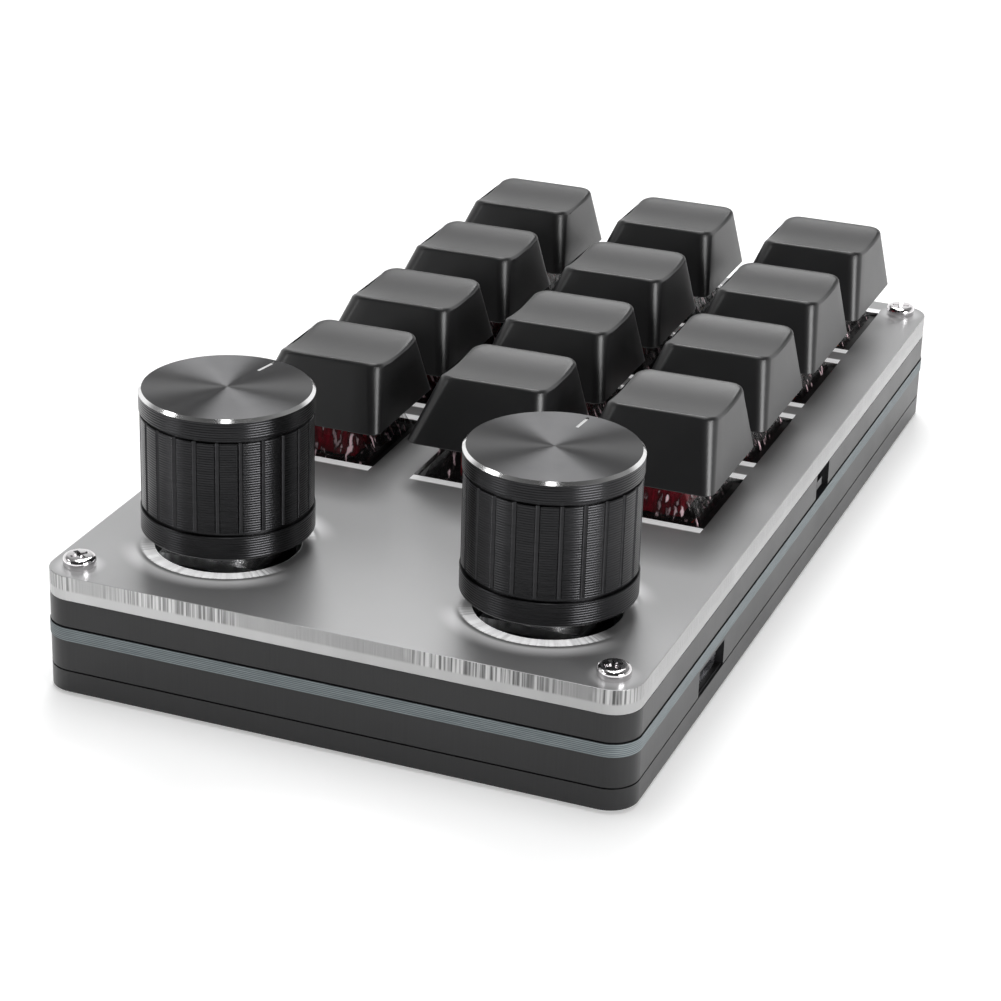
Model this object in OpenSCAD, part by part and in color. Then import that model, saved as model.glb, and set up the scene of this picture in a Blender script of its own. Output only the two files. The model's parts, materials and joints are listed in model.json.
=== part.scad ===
// Macro keypad: twelve key switches and two push knobs on a layered case.
// X runs along the long side with the knobs at +X, the user sits at -Y,
// the USB socket looks out at +Y, and Z is up from the faces of the feet.

/* [Case outline] */
// Length of the case along X
case_l = 129; // [120:1:150]
// Width of the case along Y
case_w = 72; // [70:1:90]
// Radius of the four upright corners
corner_r = 3.5; // [1:0.5:6]
// Wall of the two frames on the short sides
end_wall = 3; // [2:0.1:3.2]
// Wall of the two frames on the long sides
side_wall = 4.5; // [3:0.1:5]

/* [Case layers] */
// Height of the bottom cover
base_t = 2.8; // [2.4:0.1:5]
// Height of the lower frame, which holds the USB socket
lower_t = 3.8; // [3.8:0.1:6]
// Thickness of the circuit board
pcb_t = 1.6; // [1.2:0.1:2]
// Height of the upper frame
upper_t = 3.5; // [3:0.1:4.5]
// Thickness of the clear top plate
plate_t = 3; // [2:0.1:4]
// How far the circuit board stands out of the frames on every side
pcb_proud = 0.1; // [0:0.05:0.3]
// Height of the shadow line between two layers
reveal_h = 0.2; // [0.1:0.05:0.4]
// Depth of the shadow line between two layers
reveal_d = 0.3; // [0.1:0.05:0.5]

/* [Feet] */
// Diameter of a stick-on foot
foot_d = 8; // [5:0.5:10]
// Thickness of a foot
foot_t = 1.3; // [1:0.1:2]
// How far a foot stands out of the bottom cover
foot_proud = 0.5; // [0.3:0.1:0.9]
// Distance from a foot's centre to the nearest case sides
foot_inset = 10.5; // [9:0.5:14]

/* [Screws] */
// Distance from a screw's axis to the nearest case sides
screw_inset = 3.5; // [3.2:0.1:4.2]
// Thread diameter of the four screws
screw_d = 2; // [1.6:0.1:2.2]
// Diameter of the pan head
head_d = 3.9; // [3.4:0.1:4]
// Height of the pan head
head_h = 1.35; // [1:0.05:1.6]
// Length of a screw under its head
screw_l = 14; // [13:0.5:14]
// Outer diameter of a threaded insert
insert_d = 3.2; // [2.8:0.1:3.6]
// Length of a threaded insert
insert_l = 2.4; // [2:0.1:2.5]

/* [Key layout] */
// Distance between neighbouring keys, both ways
pitch = 21.6; // [19.05:0.05:22.2]
// Key columns along X
key_cols = 4; // [4:1:4]
// X of the middle of the key block
keys_x = -19.5; // [-20:0.25:-19]
// Gap round a switch in its square opening of the top plate
plate_gap = 0.2; // [0.1:0.05:0.3]

/* [Key cap] */
// Side of a key cap at its lower edge
cap_base = 18.1; // [17.6:0.1:18.4]
// Width of a key cap's top along X
cap_top_x = 12.5; // [12:0.1:13.5]
// Depth of a key cap's top along Y
cap_top_y = 13.6; // [13:0.1:14.4]
// How far the top lies back from the middle of the base
cap_shift = 1.2; // [0.6:0.1:1.4]
// Height of a front-row key cap
cap_h_front = 8.3; // [8:0.1:9]
// Height of a middle-row key cap
cap_h_middle = 8.6; // [8:0.1:9.4]
// Height of a back-row key cap
cap_h_back = 8.95; // [8:0.05:9.8]
// Slope of the top, rising away from the user, in degrees
cap_tilt = 0.8; // [0:0.1:3]
// Depth of the dish across the top
dish_depth = 0.75; // [0.4:0.05:0.9]
// Wall of a key cap
cap_wall = 1.3; // [1:0.1:1.4]
// Roof of a key cap under the edges of its dish
cap_roof = 1.9; // [1.7:0.1:2.2]
// Diameter of the post that takes the switch's cross
post_d = 5.5; // [5.2:0.1:5.6]

/* [Switch] */
// Height from the circuit board to the underside of the switch's rim
switch_seat = 5; // [5:0.1:5.4]
// Height from the underside of the rim to the top of the clear cover
switch_h = 6.6; // [6.4:0.1:6.8]
// Height from the underside of the rim to the lower edge of a key cap
cap_rest = 6; // [5.9:0.1:6.4]
// Travel of a key
key_travel = 4; // [3:0.1:4]
// Side of the switch's lower body
switch_body = 14; // [13.8:0.1:14.2]
// Side of the switch's rim
switch_rim = 15.6; // [15.2:0.1:15.8]
// Thickness of the rim
rim_t = 1; // [0.8:0.1:1.1]
// Height of the cross above the clear cover
cross_h = 3.6; // [3.4:0.1:3.8]
// Length of each bar of the cross
cross_w = 4.1; // [4:0.05:4.1]
// Thickness of each bar of the cross
cross_t = 1.2; // [1.1:0.05:1.3]

/* [Knobs] */
// X of both knobs
knob_x = 48; // [46:0.5:50]
// Distance from the middle of the case to each knob along Y
knob_y = 20; // [18:0.5:22]
// Outer diameter of a knob
knob_d = 20.3; // [18:0.1:21]
// Height of a knob
knob_h = 17.3; // [16:0.1:19]
// Height from the top plate to the underside of a knob
knob_lift = 2.2; // [1.8:0.1:2.4]
// Height of the smooth band at the bottom of a knob
knob_foot_h = 2.9; // [2:0.1:3.5]
// Height of the smooth band at the top of a knob
knob_head_h = 2.1; // [1.5:0.1:3]
// Width and depth of the two turned grooves
knob_groove = 0.45; // [0.3:0.05:0.6]
// Bright chamfer at the top edge
knob_chamfer = 0.45; // [0.3:0.05:0.7]
// Flutes round the middle of a knob
knob_flutes = 24; // [16:1:30]
// Depth of a flute
flute_depth = 0.25; // [0.15:0.05:0.4]
// Length of the mark on a knob's top
mark_l = 3.2; // [1.5:0.1:4]
// Distance from the mark to the bright chamfer
mark_margin = 0.5; // [0.2:0.1:1]
// Direction of the front knob's mark, in degrees from +X
mark_angle = 170; // [0:1:359]
// How much further the back knob stands turned, in degrees
back_knob_turn = 6; // [0:1:359]

/* [Encoder] */
// Side of the encoder's body
encoder_body = 11.9; // [11.6:0.1:12]
// Height of the encoder's body above the board
encoder_h = 6.5; // [6.4:0.1:6.6]
// Diameter of the bush round the shaft
bush_d = 7; // [6.8:0.1:7.4]
// Height of the bush above the body
bush_h = 5; // [4:0.1:5.2]
// Diameter of the shaft
shaft_d = 6; // [5.8:0.1:6]
// Height of the shaft's end above the board
shaft_top = 20; // [18:0.5:20.5]
// Push travel of a knob
push_travel = 0.5; // [0.3:0.1:0.6]
// Diameter of the round opening in the top plate
encoder_hole_d = 17.2; // [17.1:0.1:18]

/* [USB socket] */
// X of the middle of the socket
usb_x = 35.8; // [33:0.2:38]
// Width of the socket's shell
usb_w = 8.94; // [8.9:0.01:9]
// Height of the socket's shell
usb_h = 3.1; // [3:0.01:3.16]
// Length of the socket's shell
usb_l = 7.3; // [6.5:0.1:8]
// Distance from the case side to the mouth of the shell
usb_setback = 0.9; // [0.5:0.1:1.5]

/* [Reset button] */
// X of the middle of the reset button
reset_x = -9.6; // [-12:0.2:-6]
// Length of the button's shell along the case side
reset_w = 4.6; // [4:0.1:5.5]
// Height of the button's shell
reset_h = 2.6; // [2:0.1:2.8]
// Depth of the button's shell
reset_l = 2.6; // [2:0.1:3]
// Travel of the reset button
reset_travel = 0.25; // [0.2:0.05:0.3]

/* [Hidden] */
$fn = 48;

// Overrun of every cut
over = 0.5;
// Clearances: sliding parts, pressed parts, parts on the board
run_gap = 0.1;
press_gap = 0.02;
seat_gap = 0.05;

// Levels of the layers, from the faces of the feet
z_base = foot_proud;
z_lower = z_base + base_t;
z_pcb = z_lower + lower_t;
z_upper = z_pcb + pcb_t;
z_plate = z_upper + upper_t;
z_top = z_plate + plate_t;

// Rows run from the user's side to the back
ROWS = ["front", "middle", "back"];
row_heights = [cap_h_front, cap_h_middle, cap_h_back];
key_rows = len(ROWS);

// Levels of the switch
z_rim = z_upper + switch_seat;
z_rim_top = z_rim + rim_t;
z_cover_top = z_rim + switch_h;
z_cap = z_rim + cap_rest;

// Switch housing: floor, wall, middle tube and locating pin
housing_floor = 1;
housing_wall = 1;
tube_d = 4.3;
tube_bore_d = 3.2;
tube_h = 3.2;
pin_d = 4;
pin_l = 3.2;
pin_floor = 0.9;

// Clear cover: its top, wall and roof
cover_top_x = 10.4;
cover_top_y = 9.4;
cover_wall = 0.9;
cover_roof = 1.2;
slider_x = 7;
slider_y = 5.6;
slider_skirt_y = 7.2;
slider_gap = 0.2;
slider_stop_gap = 0.3;
slider_rod_d = 3;
slider_rod_gap = 0.9;
slider_bore_d = 5.8;

// Spring round the housing's tube, up to the bore of the slider
spring_d = 5.4;
spring_wire = 0.4;
spring_rise = 3.6;
z_spring_foot = z_upper + housing_floor;
z_spring_top = z_rim + spring_rise;

// Key cap: radii of its upright edges below, above and inside, and its end levels
cap_base_r = 1.4;
cap_top_r = 1.8;
cap_inner_r = 0.6;
cap_level_t = 0.2;

// Contacts of a switch, placed from its axis
contact_w = 1.2;
contact_t = 0.4;
contact_h = 3.6;
contact_leg = 2.8;
contact_places = [[-3.81, 4.6], [2.54, 5.08]];

// Screws and the bosses that carry them
screw_x = case_l / 2 - screw_inset;
screw_y = case_w / 2 - screw_inset;
screw_clear = 0.1;
boss_wall = 1.1;
drive_w = 2.3;
drive_t = 0.6;
drive_depth = 0.7;

// Knob: hollows under it, width of its mark and diameter of its flutes
knob_hollow_d = 9;
knob_mid_drop = 0.12;
mark_w = 0.35;
mark_depth = 0.15;
flute_d = 1.2;
knob_shell = 1.8;
knob_hub_d = 12;

// Encoder: cap, cup, rotor and flats of the shaft
encoder_cap_t = 1.2;
encoder_cup_d = 9.8;
rotor_d = 9.4;
rotor_t = 1.5;
rotor_gap = 0.1;
shaft_neck_d = 4;
shaft_flat = 1.5;
shaft_flat_l = 7;
rotor_rise = 2.6;
shaft_foot_rise = 1.8;
z_encoder_top = z_upper + encoder_h;
z_rotor = z_upper + rotor_rise;
z_shaft_foot = z_upper + shaft_foot_rise;
z_knob = z_top + knob_lift;
encoder_legs = 5;
leg_d = 0.8;
leg_l = 2.4;
leg_inset = 1.1;

// USB socket: shell, tongue and the opening in the lower frame
usb_shell_t = 0.3;
usb_tongue_t = 0.7;
usb_tongue_w = 6.7;
usb_tongue_back = 0.8;
usb_back_t = 1.4;
usb_lintel = 0.6;
usb_gap = 0.2;
usb_rise = 0.05;

// Reset button: stem through the notch of the upper frame
reset_notch_gap = 0.5;
reset_stem_w = 2.2;
reset_stem_h = 1.1;
reset_stem_out = 0.9;
reset_stem_in = 1;
reset_setback = 1.3;

// Parts under the board: the controller lies midway between the keys and the knobs
chip_w = 10;
chip_t = 1.2;
chip_x = (key_x(key_cols - 1) + knob_x) / 2;
chip_y = 0;
regulator_w = 4;
regulator_l = 2.6;
regulator_x = 34;
regulator_y = 18;
chip_lead_w = 0.3;
chip_lead_t = 0.2;
chip_lead_out = 1;
chip_leads = 11;
diode_l = 2.6;
diode_w = 1.4;
diode_h = 1.1;
diode_x = 9.2;
diode_y = -4;

// Helpers
function key_x(col) = keys_x + (col - (key_cols - 1) / 2) * pitch;
function key_y(row) = (row - (key_rows - 1) / 2) * pitch;
function row_of(name) = search([name], ROWS)[0];
// The way a knob's mark points, with -1 for the front knob and 1 for the back one
function knob_turn(side) = mark_angle + (side > 0 ? back_knob_turn : 0);

// A flat rounded rectangle, made of squares and true circles
module rounded(l, w, r) {
    square([l - 2 * r, w], center = true);
    square([l, w - 2 * r], center = true);
    for (sx = [-1, 1], sy = [-1, 1])
        translate([sx * (l / 2 - r), sy * (w / 2 - r)])
            circle(r);
}

// The outline of the case, larger or smaller by grow
module outline(grow = 0) {
    rounded(case_l + 2 * grow, case_w + 2 * grow, corner_r + grow);
}

// One copy at each of the four screws
module at_screws() {
    for (sx = [-1, 1], sy = [-1, 1])
        translate([sx * screw_x, sy * screw_y, 0])
            children();
}

// One copy at each key
module at_keys() {
    for (row = [0 : key_rows - 1], col = [0 : key_cols - 1])
        translate([key_x(col), key_y(row), 0])
            children();
}

// One copy at each knob
module at_knobs() {
    for (side = [-1, 1])
        translate([knob_x, side * knob_y, 0])
            children();
}

// The room inside a frame, with a boss left round each screw
module frame_room() {
    difference() {
        square([case_l - 2 * end_wall, case_w - 2 * side_wall], center = true);
        for (sx = [-1, 1], sy = [-1, 1])
            translate([sx * screw_x, sy * screw_y])
                circle(screw_d / 2 + screw_clear + boss_wall);
    }
}

// The four screw holes as cutting tools
module screw_holes(z, h) {
    at_screws()
        translate([0, 0, z - over])
            cylinder(d = screw_d + 2 * screw_clear, h = h + 2 * over);
}

// A block whose walls lean in the X and Y directions by different amounts
module leaning_block(lower_x, lower_y, upper_x, upper_y, h) {
    intersection() {
        rotate([90, 0, 0])
            linear_extrude(height = lower_y, center = true)
                polygon([[-lower_x / 2, 0], [lower_x / 2, 0], [upper_x / 2, h], [-upper_x / 2, h]]);
        rotate([90, 0, 90])
            linear_extrude(height = lower_x, center = true)
                polygon([[-lower_y / 2, 0], [lower_y / 2, 0], [upper_y / 2, h], [-upper_y / 2, h]]);
    }
}

// Bottom cover with the seats of the feet and of the threaded inserts
module base_cover() {
    color([0.09, 0.09, 0.09])
        difference() {
            union() {
                translate([0, 0, z_base])
                    linear_extrude(height = base_t - reveal_h)
                        outline();
                translate([0, 0, z_lower - reveal_h])
                    linear_extrude(height = reveal_h)
                        outline(-reveal_d);
            }
            at_feet()
                translate([0, 0, z_base - over])
                    cylinder(d = foot_d + 2 * run_gap, h = foot_t - foot_proud + over);
            at_screws()
                translate([0, 0, z_lower - insert_l])
                    cylinder(d = insert_d + 2 * press_gap, h = insert_l + over);
        }
}

// Lower frame with the slot for the USB socket
module lower_frame() {
    color([0.09, 0.09, 0.09])
        difference() {
            translate([0, 0, z_lower])
                linear_extrude(height = lower_t)
                    difference() {
                        outline();
                        frame_room();
                    }
            screw_holes(z_lower, lower_t);
            translate([usb_x, case_w / 2, z_lower + (lower_t - usb_lintel - over) / 2])
                cube([
                    usb_w + 2 * usb_gap,
                    2 * side_wall + 2 * over,
                    lower_t - usb_lintel + over
                ], center = true);
        }
}

// Board between the frames, drilled for switches, encoders and screws
module circuit_board() {
    color([0.36, 0.45, 0.44])
        difference() {
            translate([0, 0, z_pcb])
                linear_extrude(height = pcb_t)
                    outline(pcb_proud);
            screw_holes(z_pcb, pcb_t);
            at_keys() {
                translate([0, 0, z_pcb - over])
                    cylinder(d = pin_d + 2 * run_gap, h = pcb_t + 2 * over);
                for (place = contact_places)
                    translate([place[0], place[1], z_pcb - over])
                        cylinder(d = contact_w + 2 * run_gap, h = pcb_t + 2 * over);
            }
            at_knobs()
                at_encoder_legs()
                    translate([0, 0, z_pcb - over])
                        cylinder(d = leg_d + 2 * run_gap, h = pcb_t + 2 * over);
        }
}

// Upper frame with the notch for the reset button
module upper_frame() {
    color([0.09, 0.09, 0.09])
        difference() {
            union() {
                translate([0, 0, z_upper])
                    linear_extrude(height = reveal_h)
                        difference() {
                            outline(-reveal_d);
                            frame_room();
                        }
                translate([0, 0, z_upper + reveal_h])
                    linear_extrude(height = upper_t - reveal_h)
                        difference() {
                            outline();
                            frame_room();
                        }
            }
            screw_holes(z_upper, upper_t);
            translate([reset_x, case_w / 2, z_upper + upper_t / 2])
                cube([
                    reset_w + 2 * reset_notch_gap,
                    2 * side_wall + 2 * over,
                    upper_t + 2 * over
                ], center = true);
        }
}

// Clear top plate with square openings for the switches and round ones for the encoders
module top_plate() {
    color([0.75, 0.76, 0.77])
        difference() {
            translate([0, 0, z_plate])
                linear_extrude(height = plate_t)
                    difference() {
                        outline();
                        at_keys()
                            square(switch_rim + 2 * plate_gap, center = true);
                    }
            screw_holes(z_plate, plate_t);
            at_knobs()
                translate([0, 0, z_plate - over])
                    cylinder(d = encoder_hole_d, h = plate_t + 2 * over);
        }
}

// Four pan-head screws with a cross recess
module top_screws() {
    color([0.8, 0.79, 0.8])
        at_screws()
            difference() {
                union() {
                    translate([0, 0, z_top - screw_l])
                        cylinder(d = screw_d, h = screw_l);
                    translate([0, 0, z_top])
                        pan_head();
                }
                for (turn = [0, 90])
                    rotate([0, 0, turn])
                        translate([0, 0, z_top + head_h - drive_depth / 2 + over / 2])
                            cube([drive_w, drive_t, drive_depth + over], center = true);
            }
}

// A low cylinder with a rounded upper edge
module pan_head() {
    edge_r = head_h / 2;
    rotate_extrude() {
        square([head_d / 2 - edge_r, head_h]);
        square([head_d / 2, head_h - edge_r]);
        translate([head_d / 2 - edge_r, head_h - edge_r])
            intersection() {
                circle(edge_r);
                square(edge_r);
            }
    }
}

// Inserts in the bottom cover that take the screws
module threaded_inserts() {
    color([0.75, 0.6, 0.3])
        at_screws()
            translate([0, 0, z_lower - insert_l])
                difference() {
                    cylinder(d = insert_d, h = insert_l);
                    translate([0, 0, -over])
                        cylinder(d = screw_d + 2 * press_gap, h = insert_l + 2 * over);
                }
}

// One copy at each foot
module at_feet() {
    for (sx = [-1, 1], sy = [-1, 1])
        translate([sx * (case_l / 2 - foot_inset), sy * (case_w / 2 - foot_inset), 0])
            children();
}

// Four stick-on feet
module rubber_feet() {
    color([0.15, 0.15, 0.15])
        at_feet()
            cylinder(d = foot_d, h = foot_t);
}

// The outline of the USB shell's section: a rectangle with round ends
module usb_section(grow = 0) {
    h = usb_h + 2 * grow;
    square([usb_w - usb_h, h], center = true);
    for (side = [-1, 1])
        translate([side * (usb_w - usb_h) / 2, 0])
            circle(d = h);
}

// Socket under the board, open towards +Y, with its tongue
module usb_socket() {
    mouth_y = case_w / 2 - usb_setback;
    mid_z = z_lower + usb_rise + usb_h / 2;
    color([0.75, 0.75, 0.76]) {
        difference() {
            union() {
                translate([usb_x, mouth_y, mid_z])
                    rotate([90, 0, 0])
                        linear_extrude(height = usb_l)
                            usb_section();
                translate([usb_x - (usb_w - usb_h) / 2, mouth_y - usb_l, mid_z])
                    cube([usb_w - usb_h, usb_l - side_wall, z_pcb - mid_z]);
            }
            translate([usb_x, mouth_y + over, mid_z])
                rotate([90, 0, 0])
                    linear_extrude(height = usb_l - usb_back_t + over)
                        usb_section(-usb_shell_t);
        }
        translate([usb_x, mouth_y - usb_tongue_back, mid_z])
            rotate([90, 0, 0])
                linear_extrude(height = usb_l - usb_back_t - usb_tongue_back)
                    square([usb_tongue_w, usb_tongue_t], center = true);
    }
}

// The controller with leads on two sides, and the voltage regulator
module chips() {
    color([0.12, 0.12, 0.13]) {
        translate([chip_x - chip_w / 2, chip_y - chip_w / 2, z_pcb - chip_t])
            cube([chip_w, chip_w, chip_t]);
        for (side = [-1, 1], i = [0 : chip_leads - 1])
            translate([
                chip_x + (i - (chip_leads - 1) / 2) * chip_w / (chip_leads + 1),
                chip_y + side * (chip_w + chip_lead_out) / 2,
                z_pcb - chip_lead_t / 2
            ])
                cube([chip_lead_w, chip_lead_out, chip_lead_t], center = true);
        translate([regulator_x - regulator_w / 2, regulator_y - regulator_l / 2, z_pcb - chip_t])
            cube([regulator_w, regulator_l, chip_t]);
    }
}

// One diode a key, under the board
module diodes() {
    color([0.2, 0.12, 0.1])
        at_keys()
            translate([diode_x - diode_w / 2, diode_y - diode_l / 2, z_pcb - diode_h])
                cube([diode_w, diode_l, diode_h]);
}

// Shell of the side button, behind the notch
module reset_switch() {
    color([0.78, 0.78, 0.8])
        translate([reset_x - reset_w / 2, case_w / 2 - reset_setback - reset_l, z_upper])
            difference() {
                cube([reset_w, reset_l, reset_h]);
                translate([
                    (reset_w - reset_stem_w) / 2 - run_gap,
                    reset_l - reset_stem_in - reset_travel - run_gap,
                    (reset_h - reset_stem_h) / 2 - run_gap
                ])
                    cube([
                        reset_stem_w + 2 * run_gap,
                        reset_stem_in + reset_travel + run_gap + over,
                        reset_stem_h + 2 * run_gap
                    ]);
            }
}

// The button's stem
module reset_button() {
    color([0.06, 0.06, 0.06])
        translate([
            reset_x - reset_stem_w / 2,
            case_w / 2 - reset_setback - reset_stem_in,
            z_upper + (reset_h - reset_stem_h) / 2
        ])
            cube([reset_stem_w, reset_stem_in + reset_stem_out, reset_stem_h]);
}

// Black lower body of a switch: rim, hollow with a middle tube, and locating pin
module switch_housings() {
    inner = switch_body - 2 * housing_wall;
    color([0.07, 0.07, 0.07])
        at_keys()
            difference() {
                union() {
                    translate([-switch_body / 2, -switch_body / 2, z_upper])
                        cube([switch_body, switch_body, z_rim_top - z_upper]);
                    translate([-switch_rim / 2, -switch_rim / 2, z_rim])
                        cube([switch_rim, switch_rim, rim_t]);
                    translate([0, 0, z_upper - pin_l])
                        cylinder(d = pin_d, h = pin_l + over);
                }
                difference() {
                    translate([-inner / 2, -inner / 2, z_upper + housing_floor])
                        cube([inner, inner, z_rim_top - z_upper]);
                    translate([0, 0, z_upper])
                        cylinder(d = tube_d, h = housing_floor + tube_h);
                }
                translate([0, 0, z_upper - pin_l + pin_floor])
                    cylinder(d = tube_bore_d, h = z_rim_top - z_upper + pin_l);
                for (place = contact_places)
                    translate([place[0], place[1], z_upper - over])
                        cylinder(d = contact_w + 2 * run_gap, h = housing_floor + 2 * over);
            }
}

// Clear upper body, open below, with a window for the slider
module switch_covers() {
    h = z_cover_top - z_rim_top;
    color([0.85, 0.8, 0.8])
        at_keys()
            translate([0, 0, z_rim_top])
                difference() {
                    leaning_block(switch_body, switch_body, cover_top_x, cover_top_y, h);
                    translate([0, 0, -over])
                        leaning_block(
                            switch_body - 2 * cover_wall,
                            switch_body - 2 * cover_wall,
                            cover_top_x - 2 * cover_wall,
                            cover_top_y - 2 * cover_wall,
                            h - cover_roof + over
                        );
                    translate([0, 0, h / 2])
                        cube([
                            slider_x + 2 * slider_gap,
                            slider_y + 2 * slider_gap,
                            h + 2 * over
                        ], center = true);
                }
}

// Two metal contacts a switch: a leg through the board and a leaf above
module switch_contacts() {
    color([0.8, 0.65, 0.35])
        at_keys()
            for (place = contact_places)
                translate([place[0], place[1], 0]) {
                    translate([0, 0, z_upper - contact_leg])
                        cylinder(d = contact_w, h = contact_leg + housing_floor);
                    translate([-contact_w / 2, -contact_t / 2, z_upper + housing_floor])
                        cube([contact_w, contact_t, contact_h]);
                }
}

// Slider with the cross that carries the key cap, and its guide rod
module key_stem(row, col) {
    z_ceiling = z_cover_top - cover_roof - run_gap;
    z_skirt = z_upper + housing_floor + key_travel + slider_stop_gap;
    z_rod = z_upper - pin_l + pin_floor + key_travel + slider_rod_gap;
    color([0.72, 0.12, 0.16])
        translate([key_x(col), key_y(row), 0]) {
            difference() {
                union() {
                    translate([-slider_x / 2, -slider_y / 2, z_skirt])
                        cube([slider_x, slider_y, z_cover_top + run_gap - z_skirt]);
                    translate([-slider_x / 2, -slider_skirt_y / 2, z_skirt])
                        cube([slider_x, slider_skirt_y, z_ceiling - z_skirt]);
                }
                translate([0, 0, z_skirt - over])
                    cylinder(d = slider_bore_d, h = z_spring_top - z_skirt + over);
            }
            translate([0, 0, z_rod])
                cylinder(d = slider_rod_d, h = z_spring_top - z_rod + over);
            for (turn = [0, 90])
                rotate([0, 0, turn])
                    translate([-cross_w / 2, -cross_t / 2, z_cover_top])
                        cube([cross_w, cross_t, cross_h]);
        }
}

// Return spring, a sleeve of the coil's inner and outer size
module key_spring(row, col) {
    h = z_spring_top - z_spring_foot - 2 * press_gap;
    color([0.7, 0.7, 0.72])
        translate([key_x(col), key_y(row), z_spring_foot + press_gap])
            difference() {
                cylinder(d = spring_d, h = h);
                translate([0, 0, -over])
                    cylinder(d = spring_d - 2 * spring_wire, h = h + 2 * over);
            }
}

// Four thin posts at the corners of a level of the key cap
module cap_level(l, w, r, t) {
    for (sx = [-1, 1], sy = [-1, 1])
        translate([sx * (l / 2 - r), sy * (w / 2 - r), 0])
            cylinder(r = r, h = t, $fn = 32);
}

// The body of a key cap between two rounded levels
module cap_body(inset, h, base_r, top_r) {
    hull() {
        cap_level(cap_base - 2 * inset, cap_base - 2 * inset, base_r, cap_level_t);
        translate([0, cap_shift, h - cap_level_t])
            cap_level(cap_top_x - 2 * inset, cap_top_y - 2 * inset, top_r, cap_level_t);
    }
}

// Hollow key cap with a dished top and a post that takes the slider's cross
module key_cap(row, col) {
    h = row_heights[row];
    half = cap_top_x / 2;
    dish_r = (half * half + dish_depth * dish_depth) / (2 * dish_depth);
    z_post = z_cover_top - z_cap + 4 * run_gap;
    socket_d = z_cover_top + cross_h - z_cap - z_post + seat_gap;
    color([0.1, 0.1, 0.1])
        translate([key_x(col), key_y(row), z_cap])
            difference() {
                union() {
                    difference() {
                        cap_body(0, h, cap_base_r, cap_top_r);
                        translate([0, 0, -over])
                            cap_body(cap_wall, h - cap_roof + over, cap_inner_r, cap_inner_r);
                    }
                    translate([0, 0, z_post])
                        cylinder(d = post_d, h = h - cap_roof - z_post + over);
                }
                translate([0, cap_shift, h - dish_depth + dish_r])
                    rotate([90 + cap_tilt, 0, 0])
                        cylinder(r = dish_r, h = 2 * cap_base, center = true, $fn = 96);
                for (turn = [0, 90])
                    rotate([0, 0, turn])
                        translate([0, 0, z_post + socket_d / 2 - over / 2])
                            cube([
                                cross_w + 2 * seat_gap,
                                cross_t + 2 * seat_gap,
                                socket_d + over
                            ], center = true);
            }
}

// One copy at each of an encoder's legs, three on one side and two on the other
module at_encoder_legs() {
    for (i = [0 : encoder_legs - 1])
        let (side = i < 3 ? -1 : 1, n = i < 3 ? 3 : 2, k = i < 3 ? i : i - 3)
            translate([
                side * (encoder_body / 2 - leg_inset),
                (k - (n - 1) / 2) * (encoder_body - 4 * leg_inset) / 2,
                0
            ])
                children();
}

// Plastic base of the encoder, with its legs through the board
module encoder_bodies() {
    cup_floor = z_rotor - rotor_gap - z_upper;
    color([0.16, 0.3, 0.22])
        at_knobs() {
            difference() {
                translate([-encoder_body / 2, -encoder_body / 2, z_upper])
                    cube([encoder_body, encoder_body, encoder_h - encoder_cap_t]);
                translate([0, 0, z_upper + cup_floor])
                    cylinder(d = encoder_cup_d, h = encoder_h);
                translate([0, 0, z_shaft_foot - push_travel - rotor_gap])
                    cylinder(d = shaft_neck_d + 2 * run_gap + 2 * rotor_gap, h = encoder_h);
            }
            at_encoder_legs()
                translate([0, 0, z_upper - leg_l])
                    cylinder(d = leg_d, h = leg_l);
        }
}

// Metal cap of the encoder with the bush that carries the shaft
module encoder_bushes() {
    color([0.7, 0.7, 0.72])
        at_knobs()
            difference() {
                union() {
                    translate([-encoder_body / 2, -encoder_body / 2, z_encoder_top - encoder_cap_t])
                        cube([encoder_body, encoder_body, encoder_cap_t]);
                    translate([0, 0, z_encoder_top])
                        cylinder(d = bush_d, h = bush_h);
                }
                translate([0, 0, z_encoder_top - encoder_cap_t - over])
                    cylinder(d = shaft_d + run_gap, h = encoder_cap_t + bush_h + 2 * over);
            }
}

// Contact disc that turns with the shaft and lets it slide
module encoder_rotor(side) {
    color([0.85, 0.83, 0.78])
        translate([knob_x, side * knob_y, z_rotor])
            difference() {
                cylinder(d = rotor_d, h = rotor_t);
                translate([0, 0, -over])
                    shaft_neck(rotor_t + 2 * over, run_gap / 2);
            }
}

// The flattened lower end of the shaft
module shaft_neck(h, grow) {
    intersection() {
        cylinder(d = shaft_neck_d + 2 * grow, h = h);
        translate([0, 0, h / 2])
            cube([
                shaft_neck_d + 2 * grow,
                shaft_neck_d - shaft_flat + 2 * grow,
                h + 2 * over
            ], center = true);
    }
}

// The upper end of the shaft, with a flat on one side
module shaft_end(h, grow) {
    difference() {
        cylinder(d = shaft_d + 2 * grow, h = h);
        translate([shaft_d / 2 - shaft_flat + grow, -shaft_d, -over])
            cube([shaft_d, 2 * shaft_d, h + 2 * over]);
    }
}

// Shaft from the rotor up into the knob
module encoder_shaft(side) {
    z_neck_top = z_rotor + rotor_t + push_travel + rotor_gap;
    z_end = z_upper + shaft_top;
    color([0.72, 0.72, 0.74])
        translate([knob_x, side * knob_y, 0]) {
            translate([0, 0, z_shaft_foot])
                shaft_neck(z_neck_top - z_shaft_foot, 0);
            translate([0, 0, z_neck_top])
                cylinder(d = shaft_d, h = z_end - shaft_flat_l - z_neck_top);
            rotate([0, 0, knob_turn(side)])
                translate([0, 0, z_end - shaft_flat_l])
                    shaft_end(shaft_flat_l, 0);
        }
}

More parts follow.
